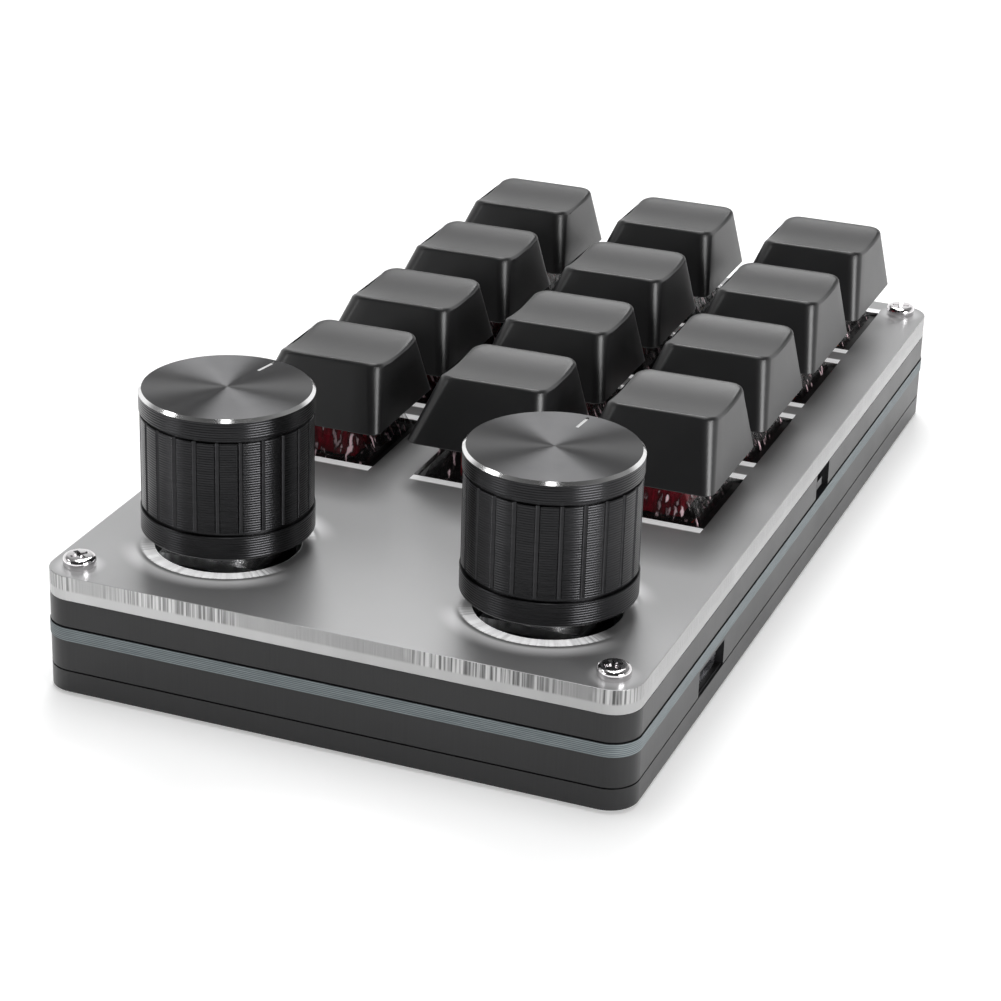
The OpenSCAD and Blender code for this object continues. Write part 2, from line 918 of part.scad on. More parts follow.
// The turned outline of a knob, seen from its axis
module knob_outline() {
    r = knob_d / 2;
    mid_r = r - knob_mid_drop;
    z_mid = knob_foot_h + knob_groove;
    z_head = knob_h - knob_head_h - knob_chamfer;
    z_mid_top = z_head - knob_groove;
    polygon([
        [0, 0],
        [r - knob_chamfer / 2, 0],
        [r, knob_chamfer / 2],
        [r, knob_foot_h],
        [r - knob_groove, knob_foot_h],
        [r - knob_groove, z_mid],
        [mid_r, z_mid],
        [mid_r, z_mid_top],
        [r - knob_groove, z_mid_top],
        [r - knob_groove, z_head],
        [r, z_head],
        [r, knob_h - knob_chamfer],
        [r - knob_chamfer, knob_h],
        [0, knob_h]
    ]);
}

// Turned knob with flutes, a bore for the shaft and a mark on its top
module knob(side) {
    r = knob_d / 2;
    z_mid = knob_foot_h + knob_groove;
    z_mid_top = knob_h - knob_head_h - knob_chamfer - knob_groove;
    z_hub = z_encoder_top + bush_h + push_travel + 2 * rotor_gap - z_knob;
    bore_top = z_upper + shaft_top - z_knob + 2 * run_gap;
    color([0.08, 0.08, 0.08])
        translate([knob_x, side * knob_y, z_knob])
            rotate([0, 0, knob_turn(side)])
                difference() {
                    rotate_extrude($fn = 96)
                        knob_outline();
                    // flutes round the middle band
                    for (i = [0 : knob_flutes - 1])
                        rotate([0, 0, (i + 0.5) * 360 / knob_flutes])
                            translate([r - knob_mid_drop - flute_depth + flute_d / 2, 0, z_mid])
                                cylinder(d = flute_d, h = z_mid_top - z_mid, $fn = 24);
                    // hollow that clears the bush, and the ring-shaped hollow round the hub
                    translate([0, 0, -over])
                        cylinder(d = knob_hollow_d, h = z_hub + over);
                    translate([0, 0, -over])
                        difference() {
                            cylinder(d = knob_d - 2 * knob_shell - 2 * flute_depth, h = knob_foot_h + over);
                            cylinder(d = knob_hub_d, h = knob_foot_h + over);
                        }
                    // bore for the shaft, with its flat
                    translate([0, 0, z_hub - over])
                        intersection() {
                            cylinder(d = shaft_d + 2 * press_gap, h = bore_top - z_hub + over);
                            union() {
                                cylinder(d = shaft_d + 2 * over, h = z_end_flat() - z_hub + over);
                                shaft_end(bore_top - z_hub + over, press_gap);
                            }
                        }
                    // mark near the rim
                    translate([r - knob_chamfer - mark_margin - mark_l, -mark_w / 2, knob_h - mark_depth])
                        cube([mark_l, mark_w, mark_depth + over]);
                }
}

// Height in the knob at which the flat of the shaft starts
function z_end_flat() = z_upper + shaft_top - shaft_flat_l - z_knob;

// What is drawn
base_cover();
lower_frame();
circuit_board();
upper_frame();
top_plate();
top_screws();
threaded_inserts();
rubber_feet();
usb_socket();
chips();
diodes();
reset_switch();
reset_button();
switch_housings();
switch_covers();
switch_contacts();
encoder_bodies();
encoder_bushes();
encoder_rotor(-1);  // encoder_rotor_front
encoder_rotor(1);  // encoder_rotor_back
encoder_shaft(-1);  // encoder_shaft_front
encoder_shaft(1);  // encoder_shaft_back
knob(-1);  // knob_front
knob(1);  // knob_back
key_cap(row_of("front"), 0);  // key_cap_front_1
key_cap(row_of("front"), 1);  // key_cap_front_2
key_cap(row_of("front"), 2);  // key_cap_front_3
key_cap(row_of("front"), 3);  // key_cap_front_4
key_cap(row_of("middle"), 0);  // key_cap_middle_1
key_cap(row_of("middle"), 1);  // key_cap_middle_2
key_cap(row_of("middle"), 2);  // key_cap_middle_3
key_cap(row_of("middle"), 3);  // key_cap_middle_4
key_cap(row_of("back"), 0);  // key_cap_back_1
key_cap(row_of("back"), 1);  // key_cap_back_2
key_cap(row_of("back"), 2);  // key_cap_back_3
key_cap(row_of("back"), 3);  // key_cap_back_4
key_stem(row_of("front"), 0);  // key_stem_front_1
key_stem(row_of("front"), 1);  // key_stem_front_2
key_stem(row_of("front"), 2);  // key_stem_front_3
key_stem(row_of("front"), 3);  // key_stem_front_4
key_stem(row_of("middle"), 0);  // key_stem_middle_1
key_stem(row_of("middle"), 1);  // key_stem_middle_2
key_stem(row_of("middle"), 2);  // key_stem_middle_3
key_stem(row_of("middle"), 3);  // key_stem_middle_4
key_stem(row_of("back"), 0);  // key_stem_back_1
key_stem(row_of("back"), 1);  // key_stem_back_2
key_stem(row_of("back"), 2);  // key_stem_back_3
key_stem(row_of("back"), 3);  // key_stem_back_4
key_spring(row_of("front"), 0);  // key_spring_front_1
key_spring(row_of("front"), 1);  // key_spring_front_2
key_spring(row_of("front"), 2);  // key_spring_front_3
key_spring(row_of("front"), 3);  // key_spring_front_4
key_spring(row_of("middle"), 0);  // key_spring_middle_1
key_spring(row_of("middle"), 1);  // key_spring_middle_2
key_spring(row_of("middle"), 2);  // key_spring_middle_3
key_spring(row_of("middle"), 3);  // key_spring_middle_4
key_spring(row_of("back"), 0);  // key_spring_back_1
key_spring(row_of("back"), 1);  // key_spring_back_2
key_spring(row_of("back"), 2);  // key_spring_back_3
key_spring(row_of("back"), 3);  // key_spring_back_4
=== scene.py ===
# %% [markdown]
# Macro keypad with knobs
#
# A small desk keypad: twelve black key caps on sprung switches and two turned
# aluminium knobs, on a case of stacked layers under a clear acrylic plate. The
# solids come packed from the CAD model and stand as a fixed frame. This lesson
# dresses them: it gives every solid a finish, and builds the pieces whose
# shape needs more than a solid has. Every length is in metres, apart from the
# plate's finish, which is drawn in millimetres.

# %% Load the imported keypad
import json
import math

import bmesh
import bpy
from mathutils import Matrix, Vector
from mathutils.geometry import tessellate_polygon

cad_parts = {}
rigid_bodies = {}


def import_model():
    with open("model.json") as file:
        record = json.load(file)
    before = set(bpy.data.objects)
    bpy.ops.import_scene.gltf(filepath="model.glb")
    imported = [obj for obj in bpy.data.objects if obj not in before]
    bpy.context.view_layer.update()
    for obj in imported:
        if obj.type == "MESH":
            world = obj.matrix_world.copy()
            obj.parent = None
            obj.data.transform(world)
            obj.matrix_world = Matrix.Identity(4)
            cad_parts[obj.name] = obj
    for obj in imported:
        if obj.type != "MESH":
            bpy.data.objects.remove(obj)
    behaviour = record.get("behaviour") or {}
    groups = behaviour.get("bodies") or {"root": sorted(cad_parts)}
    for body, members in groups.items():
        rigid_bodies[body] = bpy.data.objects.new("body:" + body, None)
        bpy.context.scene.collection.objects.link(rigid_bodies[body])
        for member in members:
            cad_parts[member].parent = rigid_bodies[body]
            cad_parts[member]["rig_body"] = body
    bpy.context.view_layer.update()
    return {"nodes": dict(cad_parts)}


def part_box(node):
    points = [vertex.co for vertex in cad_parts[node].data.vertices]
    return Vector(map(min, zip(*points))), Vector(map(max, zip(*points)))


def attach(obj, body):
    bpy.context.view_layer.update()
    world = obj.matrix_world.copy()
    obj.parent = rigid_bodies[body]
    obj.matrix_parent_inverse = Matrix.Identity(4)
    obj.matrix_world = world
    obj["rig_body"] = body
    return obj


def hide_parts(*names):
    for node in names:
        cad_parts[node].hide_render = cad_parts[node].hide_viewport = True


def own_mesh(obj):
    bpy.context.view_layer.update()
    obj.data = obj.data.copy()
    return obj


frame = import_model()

nodes = frame["nodes"]
MM = 0.001

# %% [markdown]
# The camera stands where the photographer stood. Its place and turn were worked
# out from the corners of the key caps and the edges of the case, so they are
# plain numbers here. A camera looks along its own minus Z, so its axes are the
# picture's right, the picture's up, and the way back to the lens.

# %% Camera
CAMERA_PLACE = Vector((0.32748, 0.12019, 0.16168))
AZIMUTH, ELEVATION, ROLL = math.radians(110.83), math.radians(24.26), math.radians(1.82)
LENS_MM = 105.68
SENSOR_MM = 36
CLIP_NEAR, CLIP_FAR = 0.01, 20


def camera_turn(azimuth, elevation, roll):
    """The camera's rotation matrix, with azimuth 0 looking along +Y."""
    back = Vector((
        math.sin(azimuth) * math.cos(elevation),
        -math.cos(azimuth) * math.cos(elevation),
        math.sin(elevation),
    ))
    right = Vector((0, 0, 1)).cross(back).normalized()
    up = back.cross(right)
    across = right * math.cos(roll) + up * math.sin(roll)
    above = up * math.cos(roll) - right * math.sin(roll)
    return Matrix((across, above, back)).transposed()


camera = bpy.data.objects.new("camera", bpy.data.cameras.new("camera"))
bpy.context.scene.collection.objects.link(camera)
bpy.context.scene.camera = camera
camera.data.lens = LENS_MM
camera.data.sensor_width = SENSOR_MM
camera.data.clip_start, camera.data.clip_end = CLIP_NEAR, CLIP_FAR
camera.location = CAMERA_PLACE
camera.rotation_mode = "QUATERNION"
camera.rotation_quaternion = camera_turn(AZIMUTH, ELEVATION, ROLL).to_quaternion()
print("camera", tuple(round(v, 3) for v in camera.location), "lens", camera.data.lens)

# %% [markdown]
# Finishes are written as sums. A shader node's output is a socket, and joining
# sockets by hand hides the idea behind the wiring. The small class below wraps
# a socket and overloads plus, minus, times and divide, so that a mask can be
# written as 1 - wear, and each sign adds its Math node. One function makes the
# nodes of every tree in this lesson: of a finish, of a mesh and of the room.


# %% Shader sums
class Flow:
    """A socket of a shader tree that can stand in a sum."""

    def __init__(self, finish, socket):
        self.finish = finish
        self.socket = socket

    def sum(self, operation, *terms):
        """One Math node on those terms."""
        return self.finish.node("ShaderNodeMath", {"operation": operation}, dict(enumerate(terms)))

    def __add__(self, other):
        return self.sum("ADD", self, other)

    def __sub__(self, other):
        return self.sum("SUBTRACT", self, other)

    def __rsub__(self, other):
        return self.sum("SUBTRACT", other, self)

    def __mul__(self, other):
        return self.sum("MULTIPLY", self, other)

    def __truediv__(self, other):
        return self.sum("DIVIDE", self, other)

    def above(self, limit):
        return self.sum("GREATER_THAN", self, limit)

    def power(self, other):
        return self.sum("POWER", self, other)

    def sine(self):
        return self.sum("SINE", self)

    def size(self):
        return self.sum("ABSOLUTE", self)

    def wrapped(self, low, high):
        """Starts again at low each time it passes high."""
        return self.sum("WRAP", self, high, low)

    def step(self, low, high):
        """Runs softly from 0 at low to 1 at high."""
        sockets = {"Value": self, "From Min": low, "From Max": high}
        return self.finish.node("ShaderNodeMapRange", {"interpolation_type": "SMOOTHSTEP"}, sockets)

    def band(self, rise, fall):
        """Runs softly from 0 up to 1 over the rise, and down again over the fall."""
        return self.step(*rise) * (1 - self.step(*fall))

    __radd__ = __add__
    __rmul__ = __mul__


def add_node(tree, kind, settings=None, sockets=None):
    """Any node: its type, its settings, then the values or links of its sockets."""
    made = tree.nodes.new(kind)
    for key, value in (settings or {}).items():
        setattr(made, key, value)
    for key, value in (sockets or {}).items():
        feed(tree, made.inputs[key], value)
    return made


def feed(tree, socket, value):
    """Links a socket to another one or to a sum, or sets its value."""
    if isinstance(value, Flow):
        value = value.socket
    if isinstance(value, bpy.types.NodeSocket):
        tree.links.new(value, socket)
    else:
        socket.default_value = value


print("shader sums ready")

# %% [markdown]
# A finish is a material that is still being made. It holds one Principled
# shader and knows the few things that every finish here asks for: where the
# point lies, which way the surface faces, a noise of a given grain, a colour
# that runs between two others, and a little relief.


# %% Finishes
class Finish:
    """A material on its way: a node tree round one Principled shader."""

    def __init__(self, name, colour, roughness, **sockets):
        self.material = bpy.data.materials.new(name)
        self.material.use_nodes = True
        self.tree = self.material.node_tree
        self.shader = self.tree.nodes["Principled BSDF"]
        self.set("Base Color", (*colour, 1))
        self.set("Roughness", roughness)
        for socket, value in sockets.items():
            self.set(socket.replace("_", " ").title().replace("Ior", "IOR"), value)

    def node(self, kind, settings=None, sockets=None, out=0):
        """A node of this finish, as the output that is asked for."""
        return Flow(self, add_node(self.tree, kind, settings, sockets).outputs[out])

    def set(self, socket, value):
        """Feeds a socket of the Principled shader."""
        feed(self.tree, self.shader.inputs[socket], value)

    def place(self, stretch=(1, 1, 1)):
        """The surface point in metres, with each axis stretched."""
        here = self.node("ShaderNodeTexCoord", out="Object")
        sockets = {"Vector": here, "Scale": stretch}
        return self.node("ShaderNodeMapping", {"vector_type": "POINT"}, sockets)

    def noise(self, grain, detail=2.0, stretch=(1, 1, 1)):
        """Noise whose grain has that size in metres, about 0.5 in the middle."""
        sockets = {"Vector": self.place(stretch), "Scale": 1 / grain, "Detail": detail}
        return self.node("ShaderNodeTexNoise", None, sockets)

    def parts(self, vector):
        """A vector's X, Y and Z as three numbers."""
        split = add_node(self.tree, "ShaderNodeSeparateXYZ", None, {0: vector})
        return [Flow(self, split.outputs[i]) for i in range(3)]

    def axes(self):
        """The surface point's X, Y and Z."""
        return self.parts(self.place())

    def facing(self):
        """The surface normal's X, Y and Z."""
        return self.parts(self.node("ShaderNodeNewGeometry", out="Normal"))

    def blend(self, low, high, factor):
        """A colour that runs from low to high with the factor."""
        low, high = [c if isinstance(c, Flow) else (*c, 1) for c in (low, high)]
        sockets = {0: factor, 6: low, 7: high}
        return self.node("ShaderNodeMix", {"data_type": "RGBA"}, sockets, out=2)

    def colour(self, low, high, factor):
        """The base colour runs from low to high with the factor."""
        self.set("Base Color", self.blend(low, high, factor))

    def bump(self, height, depth):
        """Small relief: a height of 1 stands depth metres out of the surface."""
        sockets = {"Height": height, "Distance": depth, "Strength": 1.0}
        self.set("Normal", self.node("ShaderNodeBump", None, sockets))


def away_from_axis(across, along):
    """The distance of a point from an upright axis, from its two offsets."""
    return (across * across + along * along).power(0.5)


print("finishes ready")

# %% [markdown]
# Black parts first. Moulded and cut black plastic is never one flat value: the
# skin has a fine grain that spreads the highlight, and handling makes some
# patches a little smoother. Noise in the roughness and a few micrometres of
# bump give both. The key caps are the smoothest, the case layers are cut sheet
# whose edges keep fine upright saw lines.

# %% Black plastics
PATCH_SIZE, PATCH_SPREAD = 9 * MM, 0.08
MOTTLE_SIZE, MOTTLE_GAIN, MOTTLE_LIFT = 4 * MM, 1.25, 0.002
SAW_LINE, SAW_SPECK, SAW_DEPTH = 0.22 * MM, 0.3 * MM, 0.006 * MM
SAW_STRETCH = (1, 1, 0.02)
SAW_GAIN, SPECK_SHARE = 1.7, 0.3
SHEET_PATCH, SHEET_LOW, SHEET_SPREAD = 12 * MM, 0.06, 0.14


def moulded(name, colour, roughness, grain=0.25 * MM, depth=0.004 * MM):
    """A moulded plastic or rubber: grain in the bump, patches in the roughness."""
    finish = Finish(name, colour, roughness)
    patches = finish.noise(PATCH_SIZE, 3)
    finish.set("Roughness", roughness - PATCH_SPREAD / 2 + PATCH_SPREAD * patches)
    brighter = tuple(c * MOTTLE_GAIN + MOTTLE_LIFT for c in colour)
    finish.colour(colour, brighter, finish.noise(MOTTLE_SIZE, 4))
    finish.bump(finish.noise(grain), depth)
    return finish.material


def cut_sheet(name, colour, roughness, **sockets):
    """Black sheet cut to shape: saw lines run up its sides only."""
    finish = Finish(name, colour, roughness, **sockets)
    side = 1 - finish.facing()[2].size()
    lines = finish.noise(SAW_LINE, 3, SAW_STRETCH)
    specks = finish.noise(SAW_SPECK)
    finish.colour(colour, tuple(c * SAW_GAIN for c in colour), lines * side)
    patches = finish.noise(SHEET_PATCH, 3)
    finish.set("Roughness", roughness - SHEET_LOW + SHEET_SPREAD * patches)
    finish.bump(lines * side + specks * SPECK_SHARE, SAW_DEPTH)
    return finish.material


cap_black = moulded("cap_black", (0.008, 0.008, 0.0085), 0.36, 0.16 * MM, 0.0035 * MM)
housing_black = moulded("housing_black", (0.010, 0.010, 0.011), 0.42)
rubber_black = moulded("rubber_black", (0.025, 0.025, 0.026), 0.8, 0.4 * MM, 0.01 * MM)
button_black = moulded("button_black", (0.008, 0.008, 0.009), 0.3)
rotor_plastic = moulded("rotor_plastic", (0.62, 0.6, 0.54), 0.45)
slider_red = moulded("slider_red", (0.5, 0.02, 0.045), 0.28)
case_black = cut_sheet("case_black", (0.009, 0.009, 0.0095), 0.32, specular_ior_level=0.4)
print("plastics", [m.name for m in bpy.data.materials if "black" in m.name])

# %% [markdown]
# Bare metals come next: chrome screws, sheet steel, brass inserts, gold
# contacts. Each has fine rubbed lines in its roughness and its bump, and colour
# that darkens a little in patches, because clean metal is still handled metal.

# %% Bare metals
RUBBED_LINE, TARNISH_SIZE = 0.12 * MM, 3 * MM
RUBBED_LOW, RUBBED_SPREAD, TARNISH = 0.04, 0.1, 0.88


def metal(name, colour, roughness, stretch=(1, 1, 1), depth=0.002 * MM):
    """Bare metal with fine rubbed lines, which the stretch can draw out."""
    finish = Finish(name, colour, roughness, metallic=1.0)
    rubbed = finish.noise(RUBBED_LINE, 3, stretch)
    finish.set("Roughness", roughness - RUBBED_LOW + RUBBED_SPREAD * rubbed)
    finish.colour(tuple(c * TARNISH for c in colour), colour, finish.noise(TARNISH_SIZE, 3))
    finish.bump(rubbed, depth)
    return finish.material


screw_chrome = metal("screw_chrome", (0.86, 0.84, 0.85), 0.1)
bright_cut = metal("bright_cut", (0.93, 0.93, 0.93), 0.12)
sheet_steel = metal("sheet_steel", (0.66, 0.66, 0.68), 0.26, (0.08, 1, 1))
encoder_shell = metal("encoder_shell", (0.16, 0.16, 0.165), 0.3, depth=0.0005 * MM)
bush_metal = metal("bush_metal", (0.8, 0.8, 0.81), 0.24, depth=0.0004 * MM)
shaft_metal = metal("shaft_metal", (0.68, 0.68, 0.7), 0.24, (1, 1, 12))
spring_wire = metal("spring_wire", (0.7, 0.68, 0.62), 0.2)
insert_brass = metal("insert_brass", (0.75, 0.52, 0.22), 0.25)
contact_gold = metal("contact_gold", (0.82, 0.6, 0.28), 0.22)
print("bare metals ready, last", contact_gold.name)

# %% [markdown]
# The knobs are turned aluminium. Turning leaves fine rings, and black dye takes
# away most of the metal's reflection without making it a plastic. The rings lie
# round the knob's axis, so light smears across them: that is what anisotropy
# does in a shader. The milled flutes cut through the rings, so they have none.

# %% Turned black aluminium
RING_PITCH, RING_RELIEF = 0.3 * MM, 0.015 * MM
KNOB_AXES, KNOB_SKIN = (48 * MM, 20 * MM), 9.98 * MM
DYE_GRAIN, DYE_STRETCH = 0.2 * MM, (0.05, 0.05, 1)


def turned_skin(finish):
    """1 on the skin that the lathe tool left, 0 in the milled flutes."""
    x, y = finish.axes()[:2]
    return away_from_axis(x - KNOB_AXES[0], y.size() - KNOB_AXES[1]).above(KNOB_SKIN)


def turned_black(name, low, high, roughness, anisotropic):
    """Black dyed aluminium with fine turned rings up its side."""
    smear = {"anisotropic": anisotropic, "anisotropic_rotation": 0.25}
    finish = Finish(name, low, roughness, metallic=1.0, **smear)
    height = finish.axes()[2]
    upright = 1 - finish.facing()[2].size()
    rings = (height * (math.tau / RING_PITCH)).sine()
    finish.bump(rings * upright * turned_skin(finish), RING_RELIEF)
    finish.colour(low, high, finish.noise(DYE_GRAIN, 3, DYE_STRETCH))
    return finish.material


knob_side = turned_black("knob_side", (0.021, 0.021, 0.022), (0.042, 0.042, 0.044), 0.3, 0.7)
knob_face = turned_black("knob_face", (0.07, 0.07, 0.072), (0.1, 0.1, 0.102), 0.38, 1.0)
print("turned metals", knob_side.name, knob_face.name)

# %% [markdown]
# Each switch has a clear moulded cover. Its small ribs and rims catch the light
# as short bright glints, and between them the red slider and the black housing
# show through. The solids have no such ribs, so the glints are drawn: one noise
# makes the bright flecks, the solid parts round them and the clearest spots.

# %% Switch covers
GLINT_SIZE, GLINT_STRETCH = 0.9 * MM, (1, 1, 0.24)
BRIGHT_FROM, SOLID_FROM, CLEAR_FROM = (0.6, 0.7), (0.52, 0.7), (0.5, 0.4)
COVER_HAZE, CLEARER = 0.42, 0.3
cover = Finish("cover_clear", (0.03, 0.026, 0.027), 0.12, ior=1.5)
glints = cover.noise(GLINT_SIZE, 3, GLINT_STRETCH)
cover.colour((0.012, 0.011, 0.011), (0.85, 0.62, 0.67), glints.step(*BRIGHT_FROM))
clearer = CLEARER * glints.step(*CLEAR_FROM)
cover.set("Alpha", COVER_HAZE + (1 - COVER_HAZE) * glints.step(*SOLID_FROM) - clearer)
cover.bump(cover.noise(0.6 * MM), 0.02 * MM)
cover_clear = cover.material
print("switch covers", cover_clear.name)

# %% [markdown]
# The top plate is laser-cut acrylic over a satin silver face. Light that has to
# find its way in and out of a clear slab is slow and grainy to render, so the
# slab is painted as what the eye meets. A ray that looks down into it is bent,
# so the near wall of each opening shows through the face as a bright striped
# ring beside the hole, and here that ring is a painted highlight in the colour.
# Its width follows from the slab's thickness: three millimetres deep look two
# wide. The distance from a hole's edge is worked out from the surface point, and
# masks of it give the painted highlight ring, the painted dark line that ends
# it, and a soft painted glow. Painted highlight bands also lie beside the key
# openings and round the screw seats, and all of them glow a little by emission,
# as painted light. Each pair of numbers is where a mask starts and ends.

# %% Plate face
HOLES, HOLE_RADIUS = ((48.0, -20.0), (48.0, 20.0)), 8.6
RING_END = (1.4, 1.8)
LINE_START, LINE_END = (1.6, 1.9), (1.9, 2.4)
GLOW_START, GLOW_END = (1.7, 2.5), (2.1, 4.7)
SPOKE_GRAIN, SPOKE_EDGE = 34.0, (0.4, 0.6)
SPOKE_LOW, SPOKE_RISE = 0.6, 0.6
SIDEWAYS = (0.36, 0.86)
# Strengths of the painted glow and of the painted dark line.
PAINTED_GLOW, PAINTED_DARK_LINE = 0.35, 0.1
KEYS_MIDDLE, KEY_PITCH, KEY_OPENING = (-19.5, 0.0), 21.6, 16.0
KEY_COLUMNS, KEY_ROWS = 4, 3
KEY_RING_END, PAINTED_KEY_LIGHT = (1.2, 1.7), 0.6
SCREWS, SEAT_END, PAINTED_SEAT_LIGHT = (61.0, 32.5), (1.9, 3.3), 0.15
SATIN_TONE, SATIN_CLOUD = 0.34, 0.04
SILVERED, PAINTED_RING_LIGHT, PAINTED_RING_GLOW = 0.6, 0.6, 0.55
SATIN_ROUGH, SATIN_SPREAD = 0.31, 0.05
ACRYLIC_IOR = 1.49


def painted_hole_light(finish, x, y, middle):
    """The painted highlight ring and painted glow beside a knob's opening, and the painted dark line
    between them.
    """
    across, along = x - middle[0], y - middle[1]
    away = away_from_axis(across, along)
    side, front = across / away, along / away
    spokes = finish.node("ShaderNodeCombineXYZ", None, {0: side, 1: front})
    noise = {"Vector": spokes, "Scale": SPOKE_GRAIN, "Detail": 3.0}
    stripes = finish.node("ShaderNodeTexNoise", None, noise).step(*SPOKE_EDGE)
    out = away - HOLE_RADIUS
    ring = (1 - out.step(*RING_END)) * (SPOKE_LOW + SPOKE_RISE * stripes)
    seen = side.size().step(*SIDEWAYS)
    glow = PAINTED_GLOW * out.band(GLOW_START, GLOW_END)
    return (ring + glow) * seen, out.band(LINE_START, LINE_END) * seen


def painted_key_bands(x, y):
    """1 in the short bands of painted highlight beside each key's opening, on its two cross sides."""
    beyond, inside = [], 1
    for part, middle, count in zip((x, y), KEYS_MIDDLE, (KEY_COLUMNS, KEY_ROWS)):
        from_middle = part - middle
        from_key = from_middle + (KEY_PITCH / 2 if count % 2 == 0 else 0)
        away = from_key.wrapped(-KEY_PITCH / 2, KEY_PITCH / 2).size()
        beyond.append(away - KEY_OPENING / 2)
        inside = inside * (count * KEY_PITCH / 2 - from_middle.size()).above(0)
    beside = 1 - beyond[0].step(*KEY_RING_END)
    return beside * inside * (1 - beyond[1].above(0))


def plate_face():
    """The satin silver face, with painted highlight rings, bands and glow where the clear slab shows
    its walls.
    """
    clear = {"ior": ACRYLIC_IOR, "emission_strength": PAINTED_RING_GLOW}
    finish = Finish("plate_face", (0.3, 0.3, 0.302), SATIN_ROUGH, **clear)
    x, y = [part / MM for part in finish.axes()[:2]]
    tone_and_painted_line = SATIN_TONE + SATIN_CLOUD * finish.noise(14 * MM, 3)
    # A screw seat's painted highlight is a soft bright patch round it.
    corner = away_from_axis(x.size() - SCREWS[0], y.size() - SCREWS[1])
    # The rings start as painted highlight: bands beside the keys and a soft patch round each screw
    # seat.
    rings = PAINTED_KEY_LIGHT * painted_key_bands(x, y) + PAINTED_SEAT_LIGHT * (1 - corner.step(*SEAT_END))
    # Each knob hole adds a painted highlight ring and glow, and a painted dark line darkens the colour.
    for middle in HOLES:
        light, line = painted_hole_light(finish, x, y, middle)
        rings = rings + light
        tone_and_painted_line = tone_and_painted_line - PAINTED_DARK_LINE * line
    # Painted light: the rings lighten the colour, drop the metal and glow by emission, though the plate
    # is no lamp.
    finish.colour((0, 0, 0), (1, 1, 1.01), tone_and_painted_line + PAINTED_RING_LIGHT * rings)
    finish.set("Metallic", SILVERED * (1 - rings))
    finish.set("Emission Color", finish.blend((0, 0, 0), (1, 1, 1), rings))
    finish.set("Roughness", SATIN_ROUGH + SATIN_SPREAD * finish.noise(0.5 * MM, 3))
    finish.bump(finish.noise(0.12 * MM, 2), 0.003 * MM)
    return finish.material


silver_face = plate_face()
print("plate face", silver_face.name, "nodes", len(silver_face.node_tree.nodes))

# %% [markdown]
# The plate's cut walls are pale and clear below. A painted highlight makes the
# short walls lighter than the long ones, and painted shade darkens their upper
# part, growing along the wall towards plus Y. Above, the laser left upright
# ripples, and their light and dark in the colour is painted reflection on top of
# the cut's own lines. They lie in patches along the wall: near the corners, and
# in one run on each side of the middle.

# %% Cut walls
PLATE_FOOT, PLATE_HIGH = 12.2, 3.0
RIPPLED = (0.36, 0.48)
RUN_START, RUN_END, CORNER_START = (12, 15), (24, 33), (33, 35)
RUN_WANDER, WANDER_SIZE = 5, 6 * MM
RIPPLE_WIDTH, RIPPLE_STRETCH, RIPPLE_EDGE = 0.3 * MM, (1, 1, 0.015), (0.36, 0.64)
RIPPLE_MIDDLE, RIPPLE_LIGHT_AND_DARK = 0.42, 0.55
WALL_TONE, SHORT_SIDE_PAINTED_LIGHT, WALL_CLOUD = 0.24, 0.25, 0.1
UPPER_SHADE, SHADE_ALONG = 0.17, 0.0035


def cut_wall():
    """A cut wall of clear acrylic: lighter below, with painted shade above, painted light on the short
    walls, and ripples with painted reflection.
    """
    finish = Finish("cut_wall", (0.6, 0.6, 0.6), 0.22, ior=ACRYLIC_IOR)
    height = (finish.axes()[2] / MM - PLATE_FOOT) / PLATE_HIGH
    upper = height.step(*RIPPLED)
    short_side = finish.facing()[0].size()
    across = finish.axes()[1] / MM
    along = across.size() + RUN_WANDER * finish.noise(WANDER_SIZE, 2)
    ripple_runs = along.band(RUN_START, RUN_END) + along.step(*CORNER_START)
    stripes = finish.noise(RIPPLE_WIDTH, 5, RIPPLE_STRETCH).step(*RIPPLE_EDGE)
    cloud = finish.noise(5 * MM, 2, (1, 1, 0.3))
    # Painted light: the short walls are lighter, and painted shade darkens their upper part and grows
    # along the wall.
    wall_tone_and_side_light = WALL_TONE + SHORT_SIDE_PAINTED_LIGHT * short_side + WALL_CLOUD * cloud
    shade_above = (UPPER_SHADE * upper + SHADE_ALONG * across) * short_side
    # The ripples are the cut's own lines in the bump; their light and dark in the colour is painted
    # reflection.
    ripples_and_reflection = upper * ripple_runs * short_side * (stripes - RIPPLE_MIDDLE) * RIPPLE_LIGHT_AND_DARK
    finish.colour((0.02, 0.02, 0.02), (0.95, 0.95, 0.95), wall_tone_and_side_light - shade_above + ripples_and_reflection)
    finish.bump(stripes * upper, 0.02 * MM)
    return finish.material


clear_wall = cut_wall()
print("plate wall", clear_wall.name)

# %% [markdown]
# The circuit board shows its edge all round the case. Glass cloth in resin is
# pale grey-green there, with thin darker lines where the layers of cloth lie.
# The two flat faces carry black lacquer. One material does both: the surface
# normal tells an edge from a face, and the height gives the layers.

# %% Circuit board and small parts on it
LAYER_PITCH, THREAD_SIZE, THREAD_STRETCH = 0.23 * MM, 0.3 * MM, (0.1, 0.1, 3)
LACQUER_ROUGH, EDGE_ROUGHER = 0.3, 0.25
board = Finish("board_laminate", (0.2, 0.26, 0.26), 0.45)
edge = 1 - board.facing()[2].size().above(0.5)
layers = (board.axes()[2] * (math.tau / LAYER_PITCH)).sine() * 0.5 + 0.5
cloth = layers * board.noise(THREAD_SIZE, 5, THREAD_STRETCH)
laminate = board.blend((0.06, 0.078, 0.085), (0.34, 0.38, 0.39), cloth)
board.colour((0.012, 0.013, 0.014), laminate, edge)
board.set("Roughness", LACQUER_ROUGH + EDGE_ROUGHER * edge)
board.bump(cloth * edge, 0.02 * MM)
board_laminate = board.material

